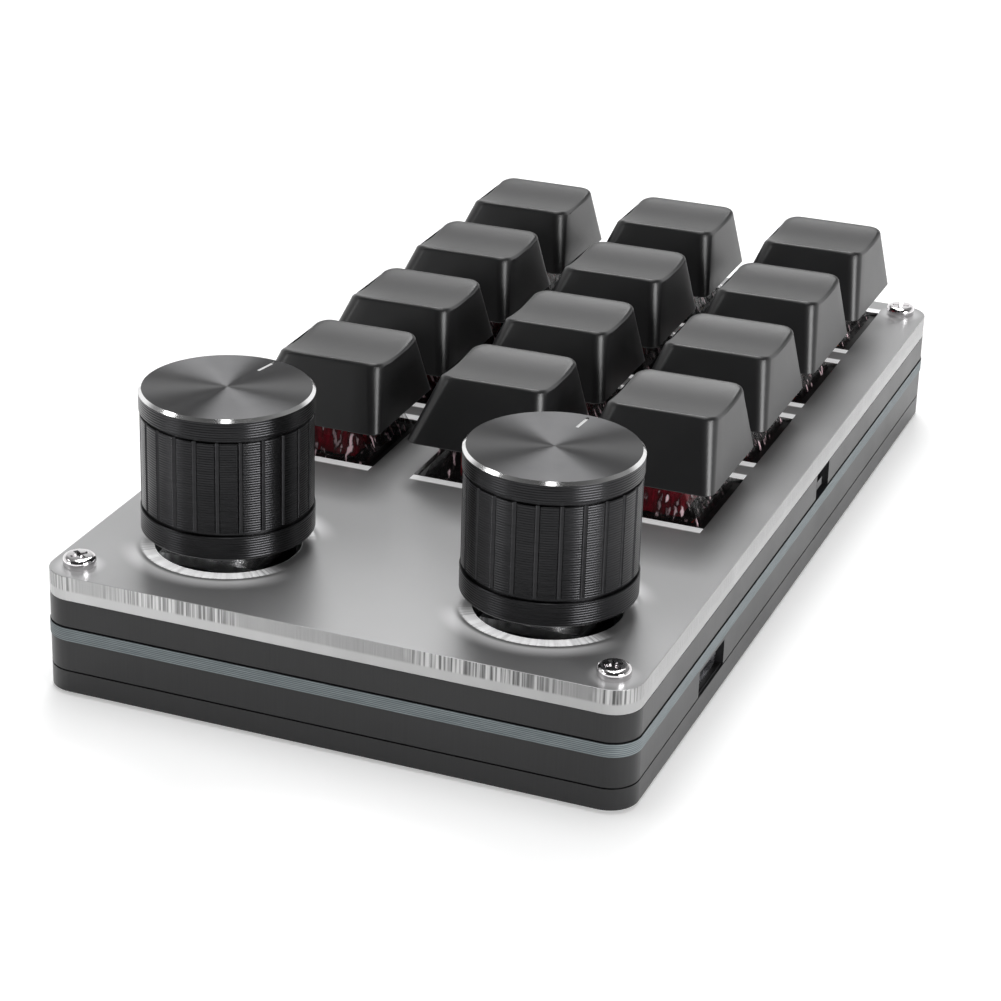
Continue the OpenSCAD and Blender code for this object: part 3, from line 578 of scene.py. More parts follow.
chip_epoxy = moulded("chip_epoxy", (0.018, 0.018, 0.019), 0.5)
diode_glass = moulded("diode_glass", (0.16, 0.035, 0.015), 0.15)
print("board", board_laminate.name, chip_epoxy.name, diode_glass.name)

# %% [markdown]
# A solid whose shape is right keeps its mesh and only takes a finish. A table
# pairs the start of the node names with the finish that they wear.

# %% Finishes for the solids that stay
WEARS = {
    "base_cover": case_black,
    "lower_frame": case_black,
    "upper_frame": case_black,
    "circuit_board": board_laminate,
    "threaded_inserts": insert_brass,
    "rubber_feet": rubber_black,
    "usb_socket": sheet_steel,
    "chips": chip_epoxy,
    "diodes": diode_glass,
    "reset_switch": sheet_steel,
    "reset_button": button_black,
    "switch_housings": housing_black,
    "switch_covers": cover_clear,
    "switch_contacts": contact_gold,
    "encoder_bodies": encoder_shell,
    "encoder_bushes": bush_metal,
    "encoder_rotor": rotor_plastic,
    "encoder_shaft": shaft_metal,
    "key_stem": slider_red,
}


def dress(piece, material):
    """The whole piece wears one material."""
    piece.data.materials.clear()
    piece.data.materials.append(material)


for start, material in WEARS.items():
    worn = [n for n in nodes if n.startswith(start)]
    for n in worn:
        dress(nodes[n], material)
    print(start, len(worn), material.name)

# %% [markdown]
# Built pieces need a few helpers. A ring of points is one level of a shape, and
# a skin is the strip of quads between rings with equal counts. Meshes are made
# from plain lists, so they hold nothing but points and faces.


# %% Points and faces
def mesh_piece(name, points, faces, materials):
    """An object at the origin from points in metres and faces."""
    mesh = bpy.data.meshes.new(name)
    mesh.from_pydata(points, [], faces)
    for material in materials:
        mesh.materials.append(material)
    piece = bpy.data.objects.new(name, mesh)
    bpy.context.scene.collection.objects.link(piece)
    return piece


def circle(radius, sides):
    """X and Y of a round outline."""
    turns = [math.tau * i / sides for i in range(sides)]
    return [(radius * math.cos(turn), radius * math.sin(turn)) for turn in turns]


def cross_outline(arm, half):
    """X and Y of a cross's twelve corners: its arms' reach and half their width."""
    corners = [(arm, half), (half, half), (half, arm)]
    for quarter in range(3):
        corners += [(-y, x) for x, y in corners[-3:]]
    return corners


def skin(rings, close_start=False, close_end=False):
    """Points and faces of rings joined one after another, capped by a fan if asked."""
    count = len(rings[0])
    points = [p for ring in rings for p in ring]
    faces = []
    for level in range(len(rings) - 1):
        for i in range(count):
            j = (i + 1) % count
            a, b = level * count, (level + 1) * count
            faces.append((a + i, a + j, b + j, b + i))
    for wanted, level in ((close_start, 0), (close_end, len(rings) - 1)):
        if wanted:
            middle = sum((Vector(p) for p in rings[level]), Vector()) / count
            points.append(tuple(middle))
            for i in range(count):
                pair = (level * count + i, level * count + (i + 1) % count)
                faces.append((*(pair if level else pair[::-1]), len(points) - 1))
    return points, faces


print("corners of a cross", len(cross_outline(2, 1)))

# %% [markdown]
# Smooth shading hides the facets of a round side, and an edge that is sharper
# than a given angle has to stay crisp. A modifier is turned into a plain mesh
# as soon as it has done its work, because the hand-over takes plain meshes.


# %% Shading and modifiers
def shade(piece, degrees=35):
    """Smooth shading that breaks at edges sharper than the angle."""
    mesh = piece.data
    work = bmesh.new()
    work.from_mesh(mesh)
    bmesh.ops.recalc_face_normals(work, faces=work.faces)
    limit = math.radians(degrees)
    for face in work.faces:
        face.smooth = True
    for line in work.edges:
        line.smooth = len(line.link_faces) == 2 and line.calc_face_angle() < limit
    work.to_mesh(mesh)
    work.free()
    return piece


def evaluated(piece):
    """The piece with its modifiers turned into a plain mesh."""
    graph = bpy.context.evaluated_depsgraph_get()
    mesh = bpy.data.meshes.new_from_object(piece.evaluated_get(graph))
    piece.modifiers.clear()
    piece.data = mesh
    return piece


print("mesh helpers ready")

# %% [markdown]
# A key cap is a lofted shell. Its base is a square of 18.1 mm, its top is
# smaller and lies further back, and a cylinder's dish is pressed into the top.
# A hull of solids gives the planes but no soft edges, so the skin is built ring
# by ring: up the wall, round a fillet, across the dish, and back down inside.

# %% Key cap shape
BASE_HALF = 9.05 * MM
TOP_HALF_X, TOP_HALF_Y = 6.25 * MM, 6.8 * MM
TOP_SHIFT = 1.2 * MM
BASE_ROUND, TOP_ROUND, LEAST_ROUND = 1.4 * MM, 1.8 * MM, 0.3 * MM
DISH_DEPTH = 0.75 * MM
DISH_SLOPE = math.tan(math.radians(0.8))
FILLET = 0.45 * MM
CAP_WALL, CAP_ROOF = 1.3 * MM, 1.9 * MM
CORNER_STEPS, SIDE_STEPS = 8, 6


def rounded_ring(half_x, half_y, radius, middle_y=0.0):
    """X and Y of a rounded rectangle, with the same count at every size."""
    ring = []
    for quarter, (sx, sy) in enumerate(((1, 1), (-1, 1), (-1, -1), (1, -1))):
        cx, cy = sx * (half_x - radius), sy * (half_y - radius)
        for step in range(CORNER_STEPS + 1):
            turn = math.radians(90 * (quarter + step / CORNER_STEPS))
            ring.append((cx + radius * math.cos(turn), middle_y + cy + radius * math.sin(turn)))
    full = []
    for i, here in enumerate(ring):
        full.append(here)
        if (i + 1) % (CORNER_STEPS + 1) == 0:
            there = ring[(i + 1) % len(ring)]
            for step in range(1, SIDE_STEPS):
                part = step / SIDE_STEPS
                full.append(tuple(here[k] + (there[k] - here[k]) * part for k in (0, 1)))
    return full


def cap_section(share, inset=0.0):
    """The cap's outline at a share of its height, drawn in by inset."""
    half_x = BASE_HALF + (TOP_HALF_X - BASE_HALF) * share - inset
    half_y = BASE_HALF + (TOP_HALF_Y - BASE_HALF) * share - inset
    radius = max(BASE_ROUND + (TOP_ROUND - BASE_ROUND) * share - inset, LEAST_ROUND)
    return rounded_ring(half_x, half_y, radius, TOP_SHIFT * share)


def dish_height(x, y, height):
    """Height of the dished top at a point of the cap."""
    radius = (TOP_HALF_X**2 + DISH_DEPTH**2) / (2 * DISH_DEPTH)
    hollow = radius - math.sqrt(radius**2 - min(abs(x), TOP_HALF_X) ** 2)
    return min(height, height - DISH_DEPTH + hollow + DISH_SLOPE * (y - TOP_SHIFT))


print("points in a ring", len(cap_section(0)))

# %% [markdown]
# The walls lean, and the dish makes the top edge dip at the front and back, so
# a ring near the top has no single height. Each point asks the dish how high it
# is, and the outline is then taken at that height. The hollow inside has a flat
# roof, and both skins meet at the lower edge.

# %% Key cap rings
LIP_SHARE, LIP = 0.014, 0.12 * MM
WALL_SHARES = (0.25, 0.5, 0.75, 0.9)
FILLET_STEPS = 5
DISH_SHARES = (0.93, 0.84, 0.72, 0.58, 0.44, 0.3, 0.16)
ROOF_SHARES = (0.15, 0.5, 0.85, 0.97)
ROOF_ROUND, INNER_LIP = 0.3 * MM, 0.1 * MM


def toward_middle(x, y, share):
    """A point of the cap's top, drawn towards the top's middle."""
    return x * share, TOP_SHIFT + (y - TOP_SHIFT) * share


def cap_rings(height):
    """Rings of the outer skin, from its lower edge to the dish's middle."""
    rings = [[(x, y, LIP) for x, y in cap_section(LIP_SHARE)]]
    for share in WALL_SHARES:
        rings.append([(x, y, share * height) for x, y in cap_section(share)])
    for step in range(FILLET_STEPS + 1):
        turn = math.radians(90 * step / FILLET_STEPS)
        inset, drop = FILLET * (1 - math.cos(turn)), FILLET * (1 - math.sin(turn))
        ring = []
        for i, (x, y) in enumerate(cap_section(1, inset)):
            rim = dish_height(x, y, height)
            x, y = cap_section((rim - drop) / height, inset)[i]
            ring.append((x, y, dish_height(x, y, height) - drop))
        rings.append(ring)
    rim = rings[-1]
    for share in DISH_SHARES:
        ring = [toward_middle(x, y, share) for x, y, z in rim]
        rings.append([(x, y, dish_height(x, y, height)) for x, y in ring])
    return rings


def cap_inside(height):
    """Rings of the hollow, from the roof's middle down to the lower edge."""
    roof = height - CAP_ROOF
    top = cap_section(1, CAP_WALL)
    rings = [[(*toward_middle(x, y, share), roof) for x, y in top] for share in ROOF_SHARES]
    rings.append([(x, y, roof - ROOF_ROUND) for x, y in cap_section(ROOF_SHARES[-1], CAP_WALL)])
    rings.append([(x, y, INNER_LIP) for x, y in cap_section(0, CAP_WALL)])
    rings.append([(x, y, 0) for x, y in cap_section(0, CAP_WALL - INNER_LIP)])
    rings.append([(x, y, 0) for x, y in cap_section(0, LIP)])
    return rings


def cap_shell(height):
    """Points and faces of the closed shell, outer skin and hollow in one."""
    outer = cap_rings(height)
    inner = cap_inside(height)
    outer_points, outer_faces = skin(outer, close_end=True)
    inner_points, inner_faces = skin(inner, close_start=True)
    offset, count = len(outer_points), len(outer[0])
    faces = outer_faces + [tuple(i + offset for i in face) for face in inner_faces]
    last = offset + (len(inner) - 1) * count
    for i in range(count):
        j = (i + 1) % count
        faces.append((last + i, last + j, j, i))
    return outer_points + inner_points, faces


print("rings", len(cap_rings(8 * MM)), "faces", len(cap_shell(8 * MM)[1]))

# %% [markdown]
# Under the roof stands a round post with a cross-shaped socket, which grips the
# slider. The post's lower end is a disc with a cross left out: no fan of
# triangles fits it, so it is tessellated, and the socket's walls go up from it.

# %% Socket post under the cap
POST_RADIUS, POST_SIDES = 2.75 * MM, 40
CROSS_LONG, CROSS_WIDE = 4.2 * MM, 1.3 * MM


def socket_post(low, high, depth):
    """A round post from low to high with a cross-shaped socket of that depth."""
    rim = circle(POST_RADIUS, POST_SIDES)
    cross = cross_outline(CROSS_LONG / 2, CROSS_WIDE / 2)
    flat = [Vector((x, y, 0)) for x, y in rim + cross]
    points = [(p.x, p.y, low) for p in flat]
    faces = [tuple(t) for t in tessellate_polygon([flat[:POST_SIDES], flat[POST_SIDES:]])]
    tall = len(points)
    points += [(x, y, high) for x, y in rim] + [(x, y, low + depth) for x, y in cross]
    for start, count in ((0, POST_SIDES), (POST_SIDES, len(cross))):
        for i in range(count):
            j = (i + 1) % count
            faces.append((start + i, start + j, tall + start + j, tall + start + i))
    faces.append(tuple(tall + i for i in range(POST_SIDES)))
    faces.append(tuple(tall + POST_SIDES + i for i in range(len(cross))))
    return points, faces


print("post faces", len(socket_post(0, 1, 0.5)[1]))

# %% [markdown]
# Twelve caps stand on the twelve keys. The rows differ in height, so each shell
# is as high as its own solid's box and stands in that box's middle. The post
# runs a little way into the roof, so no gap opens between the two.

# %% Twelve key caps
POST_LIFT, POST_OVERLAP = 1.0 * MM, 0.4 * MM
SOCKET_DEPTH = 3.35 * MM
for n in sorted(nodes):
    if not n.startswith("key_cap_"):
        continue
    low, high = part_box(n)
    height = high.z - low.z
    shell_points, shell_faces = cap_shell(height)
    post_top = height - CAP_ROOF + POST_OVERLAP
    post_points, post_faces = socket_post(POST_LIFT, post_top, SOCKET_DEPTH)
    offset = len(shell_points)
    middle = (low + high) / 2
    points = [(x + middle.x, y + middle.y, z + low.z) for x, y, z in shell_points + post_points]
    faces = shell_faces + [tuple(i + offset for i in face) for face in post_faces]
    cap = mesh_piece(n.replace("key_cap", "cap"), points, faces, [cap_black])
    shade(cap, degrees=40)
    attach(cap, nodes[n]["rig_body"])
    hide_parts(n)
caps = [o.name for o in bpy.data.objects if o.name.startswith("cap_")]
print("key caps", len(caps), "last height", round(height / MM, 2))

# %% [markdown]
# The knob is turned on a lathe, then its flutes are milled, then the mark is
# cut and the top edge is given a bright facet. The lathe step is a profile spun
# round the axis: a head band, a grip between two grooves, a foot band, and
# underneath a recess and a blind bore.

# %% Knob profile
KNOB_RADIUS, KNOB_HEIGHT, KNOB_SIDES = 10.15 * MM, 17.3 * MM, 192
FOOT_BAND, HEAD_BAND = 2.9 * MM, 2.1 * MM
GROOVE, CHAMFER, GRIP_DROP = 0.45 * MM, 0.36 * MM, 0.12 * MM
BAND_EDGE, GRIP_EDGE, FOOT_EDGE = 0.08 * MM, 0.06 * MM, 0.22 * MM
RECESS_OUT, RECESS_IN, RECESS_DEEP = 8.05 * MM, 6 * MM, 2.9 * MM
BORE_RADIUS, BORE_DEEP, AXIS_GAP = 4.5 * MM, 3.5 * MM, 0.4 * MM
FACE_SHARES = (0.04, 0.25, 0.5, 0.75, 0.97, 1.0)


def knob_profile():
    """Radius and height from the middle of the top to the middle of the bore."""
    out, top = KNOB_RADIUS, KNOB_HEIGHT
    neck, grip = out - GROOVE, out - GRIP_DROP
    head, foot = top - HEAD_BAND - CHAMFER, FOOT_BAND
    grip_top, grip_foot = head - GROOVE, foot + GROOVE
    points = [(share * (out - CHAMFER), top) for share in FACE_SHARES]
    points += [(out, top - CHAMFER), (out, head + BAND_EDGE)]
    points += [(out - BAND_EDGE, head), (neck, head), (neck, grip_top)]
    points += [(grip - GRIP_EDGE, grip_top), (grip, grip_top - GRIP_EDGE)]
    points += [(grip, grip_foot + GRIP_EDGE), (grip - GRIP_EDGE, grip_foot)]
    points += [(neck, grip_foot), (neck, foot), (out - BAND_EDGE, foot)]
    points += [(out, foot - BAND_EDGE), (out, FOOT_EDGE), (out - FOOT_EDGE, 0)]
    points += [(RECESS_OUT, 0), (RECESS_OUT, RECESS_DEEP), (RECESS_IN, RECESS_DEEP)]
    points += [(RECESS_IN, 0), (BORE_RADIUS, 0), (BORE_RADIUS, BORE_DEEP)]
    return points + [(AXIS_GAP, BORE_DEEP)]


def spun(profile, sides):
    """Points and faces of a profile spun round the Z axis, closed at both ends."""
    rings = [[(x, y, z) for x, y in circle(radius, sides)] for radius, z in profile]
    return skin(rings, close_start=True, close_end=True)


print("profile points", len(knob_profile()))

# %% [markdown]
# The milling repeats one cutter, which is a task for Geometry Nodes. A small
# class builds a tree with named inputs, ends it in a plain dressed mesh, and
# runs it on a piece.


# %% Node trees for meshes
class Tree:
    """A Geometry Nodes tree being built, with named inputs."""

    def __init__(self, name):
        self.group = bpy.data.node_groups.new(name, "GeometryNodeTree")
        self.sockets = {}
        for way in ("OUTPUT", "INPUT"):
            kind = "NodeSocketGeometry"
            self.group.interface.new_socket("Geometry", in_out=way, socket_type=kind)
        self.start = self.group.nodes.new("NodeGroupInput")
        self.end = self.group.nodes.new("NodeGroupOutput")

    def input(self, name, kind="NodeSocketFloat"):
        """A named input; its identifier is kept for the modifier."""
        made = self.group.interface.new_socket(name, in_out="INPUT", socket_type=kind)
        self.sockets[name] = made.identifier
        return self.start.outputs[name]

    def node(self, kind, settings=None, sockets=None, out=0):
        """A node of this tree, as the output that is asked for."""
        return add_node(self.group, kind, settings, sockets).outputs[out]

    def finish(self, geometry, material):
        """Realize, set the material, and send it out."""
        whole = self.node("GeometryNodeRealizeInstances", None, {0: geometry})
        dressed = self.node("GeometryNodeSetMaterial", None, {0: whole, "Material": material})
        self.group.links.new(dressed, self.end.inputs[0])

    def run(self, piece, **values):
        """Puts the tree on the piece, sets its inputs, and keeps the plain mesh."""
        modifier = piece.modifiers.new(self.group.name, "NODES")
        modifier.node_group = self.group
        for name, value in values.items():
            modifier[self.sockets[name.replace("_", " ")]] = value
        return evaluated(piece)


print("mesh trees ready")

# %% [markdown]
# The tree below takes the turned blank as its input and is the milling machine:
# a circle of points, a cutter on each, and one boolean. Its named inputs are the
# number of flutes, the cutter's radius, the distance of its axis from the
# knob's, and the length and middle height of the cut.

# %% Flute milling tree
CUTTER_SIDES = 20
milling = Tree("flute milling")
flutes = milling.input("Flutes", "NodeSocketInt")
cutter_radius = milling.input("Cutter radius")
cutter_away = milling.input("Cutter away")
cut_length = milling.input("Cut length")
cut_middle = milling.input("Cut middle")
stations = milling.node("GeometryNodeMeshCircle", None, {"Vertices": flutes, "Radius": cutter_away})
cutter = milling.node(
    "GeometryNodeMeshCylinder",
    {"fill_type": "NGON"},
    {"Vertices": CUTTER_SIDES, "Radius": cutter_radius, "Depth": cut_length},
)
placed = milling.node("GeometryNodeInstanceOnPoints", None, {"Points": stations, "Instance": cutter})
lift = milling.node("ShaderNodeCombineXYZ", None, {"Z": cut_middle})
raised = milling.node("GeometryNodeTransform", None, {"Geometry": placed, "Translation": lift})
cutters = milling.node("GeometryNodeRealizeInstances", None, {0: raised})
milled = milling.node(
    "GeometryNodeMeshBoolean",
    {"operation": "DIFFERENCE", "solver": "EXACT"},
    {"Mesh 1": milling.start.outputs["Geometry"], "Mesh 2": cutters},
)
milling.finish(milled, knob_side)
print("milling inputs", list(milling.sockets))

# %% [markdown]
# After milling, three finishes share the mesh: black rings on the side, black
# rings on the face, and bright metal on the facet. A face's own height and tilt
# tell which it is. The mark is a slot cut near the rim, and its walls are bright.

# %% Finishing cuts
LEVEL, SLOPING = 0.99, 0.3
FACE_MARGIN = 0.01 * MM


def block(name, low, high, material):
    """A plain block used as a cutting tool."""
    x_ends, y_ends, z_ends = zip(low, high)
    corners = [(x, y, z) for x in x_ends for y in y_ends for z in z_ends]
    faces = [(0, 1, 3, 2), (4, 6, 7, 5), (0, 4, 5, 1), (2, 3, 7, 6), (0, 2, 6, 4), (1, 5, 7, 3)]
    return mesh_piece(name, corners, faces, [material])


def knob_material(polygon):
    """Which of side, face and bright a polygon of the knob wears."""
    if polygon.normal.z > LEVEL and polygon.center.z > KNOB_HEIGHT - FACE_MARGIN:
        return 1
    if polygon.center.z > KNOB_HEIGHT - CHAMFER and polygon.normal.z > SLOPING:
        return 2
    return 0


def cut_away(piece, tool):
    """Takes the tool's shape out of the piece, with the tool's material on the cut."""
    modifier = piece.modifiers.new("cut", "BOOLEAN")
    modifier.operation, modifier.solver, modifier.object = "DIFFERENCE", "EXACT", tool
    modifier.material_mode = "TRANSFER"
    evaluated(piece)
    bpy.data.objects.remove(tool)
    return piece


print("cutting tools ready")

# %% [markdown]
# Each knob is made upright on the origin: turned, milled, given its three
# finishes and cut for its mark. Then its mesh is turned until the mark points
# where the photograph has it, and moved to the knob's own axis.

# %% Two knobs
FLUTES, FLUTE_DEPTH, CUTTER_RADIUS = 24, 0.2 * MM, 0.35 * MM
CUTTER_AWAY = KNOB_RADIUS - GRIP_DROP - FLUTE_DEPTH + CUTTER_RADIUS
CUT_LOW, CUT_HIGH = FOOT_BAND + GROOVE, KNOB_HEIGHT - HEAD_BAND - CHAMFER - GROOVE
MARK_TURN = {"knob_front": 169.6, "knob_back": 176.0}
MARK_FROM, MARK_TO = 6.0 * MM, 9.2 * MM
MARK_WIDE, MARK_DEEP = 0.36 * MM, 0.12 * MM
for n, turn in MARK_TURN.items():
    low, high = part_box(n)
    middle = (low + high) / 2
    blank = mesh_piece(n.replace("knob", "turned_knob"), *spun(knob_profile(), KNOB_SIDES), [knob_side])
    shade(blank, degrees=30)
    knob = milling.run(
        blank,
        Flutes=FLUTES,
        Cutter_radius=CUTTER_RADIUS,
        Cutter_away=CUTTER_AWAY,
        Cut_length=CUT_HIGH - CUT_LOW,
        Cut_middle=(CUT_HIGH + CUT_LOW) / 2,
    )
    knob.data.materials.clear()
    for material in (knob_side, knob_face, bright_cut):
        knob.data.materials.append(material)
    for polygon in knob.data.polygons:
        polygon.material_index = knob_material(polygon)
    slot_low = (MARK_FROM, -MARK_WIDE / 2, KNOB_HEIGHT - MARK_DEEP)
    slot_high = (MARK_TO, MARK_WIDE / 2, KNOB_HEIGHT + MM)
    cut_away(knob, block("slot", slot_low, slot_high, bright_cut))
    place = Matrix.Translation((middle.x, middle.y, low.z))
    knob.data.transform(place @ Matrix.Rotation(math.radians(turn), 4, "Z"))
    shade(knob, degrees=30)
    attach(knob, nodes[n]["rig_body"])
    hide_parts(n)
    print(knob.name, "faces", len(knob.data.polygons), [m.name for m in knob.data.materials])

# %% [markdown]
# The screws are the same screw four times. One pan head is spun with its shank,
# and a cross recess with sloping walls is cut into it.

# %% Pan head screw
low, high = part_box("top_screws")
HEAD_RADIUS, HEAD_HEIGHT = 1.95 * MM, 1.35 * MM
CROWN_RADIUS, CROWN_DROP = 0.9 * MM, 0.02 * MM
ROUND_AWAY, ROUND_UP, ROUND = 1.4 * MM, 0.78 * MM, 0.55 * MM
ROUND_FROM, ROUND_TURN, ROUND_STEPS = 85, 95, 6
HEAD_FOOT = ((1.88 * MM, 0.1 * MM), (1.8 * MM, 0.0))
SHANK_RADIUS, TIP_RADIUS, TIP_LENGTH = 0.99 * MM, 0.7 * MM, 0.3 * MM
SCREW_AXIS_GAP, SCREW_SIDES = 0.06 * MM, 48
CROSS_TOP, CROSS_BOTTOM = (1.3 * MM, 0.32 * MM), (0.5 * MM, 0.16 * MM)
CROSS_RISE, CROSS_DEEP = 0.2 * MM, 0.75 * MM
screw_span = (high.x - low.x - 2 * HEAD_RADIUS, high.y - low.y - 2 * HEAD_RADIUS)
under_head = high.z - HEAD_HEIGHT


def screw_profile():
    """Radius and height of the screw from its top to its tip, head on zero."""
    points = [(SCREW_AXIS_GAP, HEAD_HEIGHT), (CROWN_RADIUS, HEAD_HEIGHT)]
    points.append((ROUND_AWAY, HEAD_HEIGHT - CROWN_DROP))
    for step in range(ROUND_STEPS + 1):
        turn = math.radians(ROUND_FROM - ROUND_TURN * step / ROUND_STEPS)
        points.append((ROUND_AWAY + ROUND * math.cos(turn), ROUND_UP + ROUND * math.sin(turn)))
    points += [*HEAD_FOOT, (SHANK_RADIUS, 0.0)]
    tip = low.z - under_head
    return points + [(SHANK_RADIUS, tip + TIP_LENGTH), (TIP_RADIUS, tip), (SCREW_AXIS_GAP, tip)]


def cross_tool(material):
    """A cross whose arms narrow as they go down."""
    points = [(x, y, HEAD_HEIGHT + CROSS_RISE) for x, y in cross_outline(*CROSS_TOP)]
    points += [(x, y, HEAD_HEIGHT - CROSS_DEEP) for x, y in cross_outline(*CROSS_BOTTOM)]
    corners = len(points) // 2
    faces = [tuple(range(corners)), tuple(range(2 * corners - 1, corners - 1, -1))]
    for i in range(corners):
        j = (i + 1) % corners
        faces.append((i, i + corners, j + corners, j))
    return shade(mesh_piece("cross", points, faces, [material]))


screw = mesh_piece("screw_master", *spun(screw_profile(), SCREW_SIDES), [screw_chrome])
shade(screw, degrees=50)
cut_away(screw, cross_tool(screw_chrome))
shade(screw, degrees=40)
print("screw faces", len(screw.data.polygons))

# %% [markdown]
# Geometry Nodes puts that screw on each corner of a rectangle and gives each
# its own turn, because no two screws stop at the same angle. The seed is fixed,
# so every run agrees.

# %% Four screws
scatter = Tree("screws on corners")
span_x, span_y, height = [scatter.input(name) for name in ("Span x", "Span y", "Height")]
seed = scatter.input("Seed", "NodeSocketInt")
corners = scatter.node(
    "GeometryNodeMeshGrid",
    None,
    {"Size X": span_x, "Size Y": span_y, "Vertices X": 2, "Vertices Y": 2},
)
lift = scatter.node("ShaderNodeCombineXYZ", None, {"Z": height})
seats = scatter.node("GeometryNodeTransform", None, {"Geometry": corners, "Translation": lift})
turn = scatter.node(
    "FunctionNodeRandomValue",
    {"data_type": "FLOAT_VECTOR"},
    {"Min": (0, 0, 0), "Max": (0, 0, math.tau), "Seed": seed},
)
put = scatter.node(
    "GeometryNodeInstanceOnPoints",
    None,
    {"Points": seats, "Instance": scatter.start.outputs["Geometry"], "Rotation": turn},
)
scatter.finish(put, screw_chrome)
screws = scatter.run(screw, Span_x=screw_span[0], Span_y=screw_span[1], Height=under_head, Seed=5)
screws.name = "pan_head_screws"
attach(screws, nodes["top_screws"]["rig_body"])
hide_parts("top_screws")
print("screws span", [round(v / MM, 1) for v in screw_span])

# %% [markdown]
# Each switch hides a coil spring. A spiral with the same start and end radius
# is a helix, and a small circle swept along it is the wire.

# %% Coil spring tree
STEPS_IN_TURN, WIRE_SIDES = 20, 8
coil = Tree("coil spring")
inputs = ("Turns", "Radius", "Height", "Wire radius")
turns, radius, tall, wire = [coil.input(name) for name in inputs]
shape = {"Start Radius": radius, "End Radius": radius, "Height": tall}
shape.update({"Resolution": STEPS_IN_TURN, "Rotations": turns})
helix = coil.node("GeometryNodeCurveSpiral", None, shape)
section = {"Resolution": WIRE_SIDES, "Radius": wire}
round_wire = coil.node("GeometryNodeCurvePrimitiveCircle", None, section)
swept = coil.node(
    "GeometryNodeCurveToMesh",
    None,
    {"Curve": helix, "Profile Curve": round_wire, "Fill Caps": True},
)
smooth = coil.node("GeometryNodeSetShadeSmooth", None, {0: swept})
coil.finish(smooth, spring_wire)
print("coil inputs", list(coil.sockets))

# %% [markdown]
# The springs stand in the case while the keys go down. Each one moves with the
# body of its own solid.

# %% Twelve springs
WIRE_RADIUS = 0.2 * MM
TURNS = 7.0
for n in sorted(nodes):
    if not n.startswith("key_spring_"):
        continue
    low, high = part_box(n)
    rest = high.z - low.z
    foot = ((low.x + high.x) / 2, (low.y + high.y) / 2, low.z)
    spring = mesh_piece(n.replace("key_spring", "coil"), [(0, 0, 0)], [], [spring_wire])
    coil.run(
        spring,
        Turns=TURNS,
        Radius=(high.x - low.x) / 2 - WIRE_RADIUS,
        Height=rest - 2 * WIRE_RADIUS,
        Wire_radius=WIRE_RADIUS,
    )
    spring.data.transform(Matrix.Translation((foot[0], foot[1], foot[2] + WIRE_RADIUS)))
    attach(spring, nodes[n]["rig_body"])
    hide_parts(n)
    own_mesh(spring)
print("spring length in mm", round(rest / MM, 2))

# %% [markdown]
# The top plate is a copy of the solid whose edges get a hair of bevel. The CAD
# mesh is loose triangles, so its doubles are merged first and its flat faces
# dissolved. A face's tilt then tells which of the two finishes it wears. Large
# faces stay flat, so that the rounded edges don't bend the light across them.

# %% Clear plate
FLAT_AREA = 12 * MM * MM
SAME_POINT = 0.001 * MM
BEVEL_WIDTH, BEVEL_SEGMENTS = 0.1 * MM, 2
COPLANAR, BEVELLED = math.radians(1), math.radians(50)
UPWARD = 0.9


def merged(mesh):
    """Points and faces of a mesh with its doubles merged and its flat faces whole."""
    work = bmesh.new()
    work.from_mesh(mesh)
    bmesh.ops.remove_doubles(work, verts=work.verts, dist=SAME_POINT)
    bmesh.ops.dissolve_limit(work, angle_limit=COPLANAR, verts=work.verts, edges=work.edges)
    work.verts.index_update()
    points = [tuple(v.co) for v in work.verts]
    faces = [tuple(v.index for v in face.verts) for face in work.faces]
    work.free()
    return points, faces


def clear_slab(node, name, materials):
    """A merged copy of a flat node, with fine bevels and a finish for face and wall."""
    slab = mesh_piece(name, *merged(nodes[node].data), materials)
    bevel = slab.modifiers.new("bevel", "BEVEL")
    bevel.width, bevel.segments = BEVEL_WIDTH, BEVEL_SEGMENTS
    bevel.limit_method, bevel.angle_limit = "ANGLE", BEVELLED
    evaluated(slab)
    for polygon in slab.data.polygons:
        polygon.material_index = 0 if abs(polygon.normal.z) > UPWARD else 1
    shade(slab, degrees=30)
    for polygon in slab.data.polygons:
        polygon.use_smooth = polygon.area < FLAT_AREA
    return slab


plate = clear_slab("top_plate", "clear_plate", [silver_face, clear_wall])
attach(plate, nodes["top_plate"]["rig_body"])
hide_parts("top_plate")
print("plate faces", len(plate.data.polygons))

# %% [markdown]
# The keypad stands on a plain white sweep. The floor takes the soft shadow. For
# the eye of the camera, in mirrors and through clear parts it glows a little,
# so that it reads as paper white without more light on the object. Far from
# the keypad the camera sees it glow more, so that no grey band is left there.

# %% Floor
FLOOR_GLOW, FAR_GLOW = 0.3, 0.45
FAR = (0.35, 0.9)
FLOOR_HALF = 3


def white_floor():
    """A white diffuse floor whose glow only the rays that look at it can see."""
    finish = Finish("floor_white", (0.86, 0.86, 0.86), 0.9, specular_ior_level=0.0)
    rays = add_node(finish.tree, "ShaderNodeLightPath").outputs
    kinds = ("Camera", "Glossy", "Transmission")
    seen, mirrored, through = [Flow(finish, rays[f"Is {kind} Ray"]) for kind in kinds]
    far = away_from_axis(*finish.axes()[:2]).step(*FAR)
    finish.set("Emission Color", (1, 1, 1, 1))
    glow = FLOOR_GLOW + FAR_GLOW * far * seen
    finish.set("Emission Strength", (seen + mirrored + through) * glow)
    return finish.material


signs = ((-1, -1), (1, -1), (1, 1), (-1, 1))
sheet = [(x * FLOOR_HALF, y * FLOOR_HALF, 0) for x, y in signs]
floor = mesh_piece("floor", sheet, [(0, 1, 2, 3)], [white_floor()])
print("floor corners", sheet)

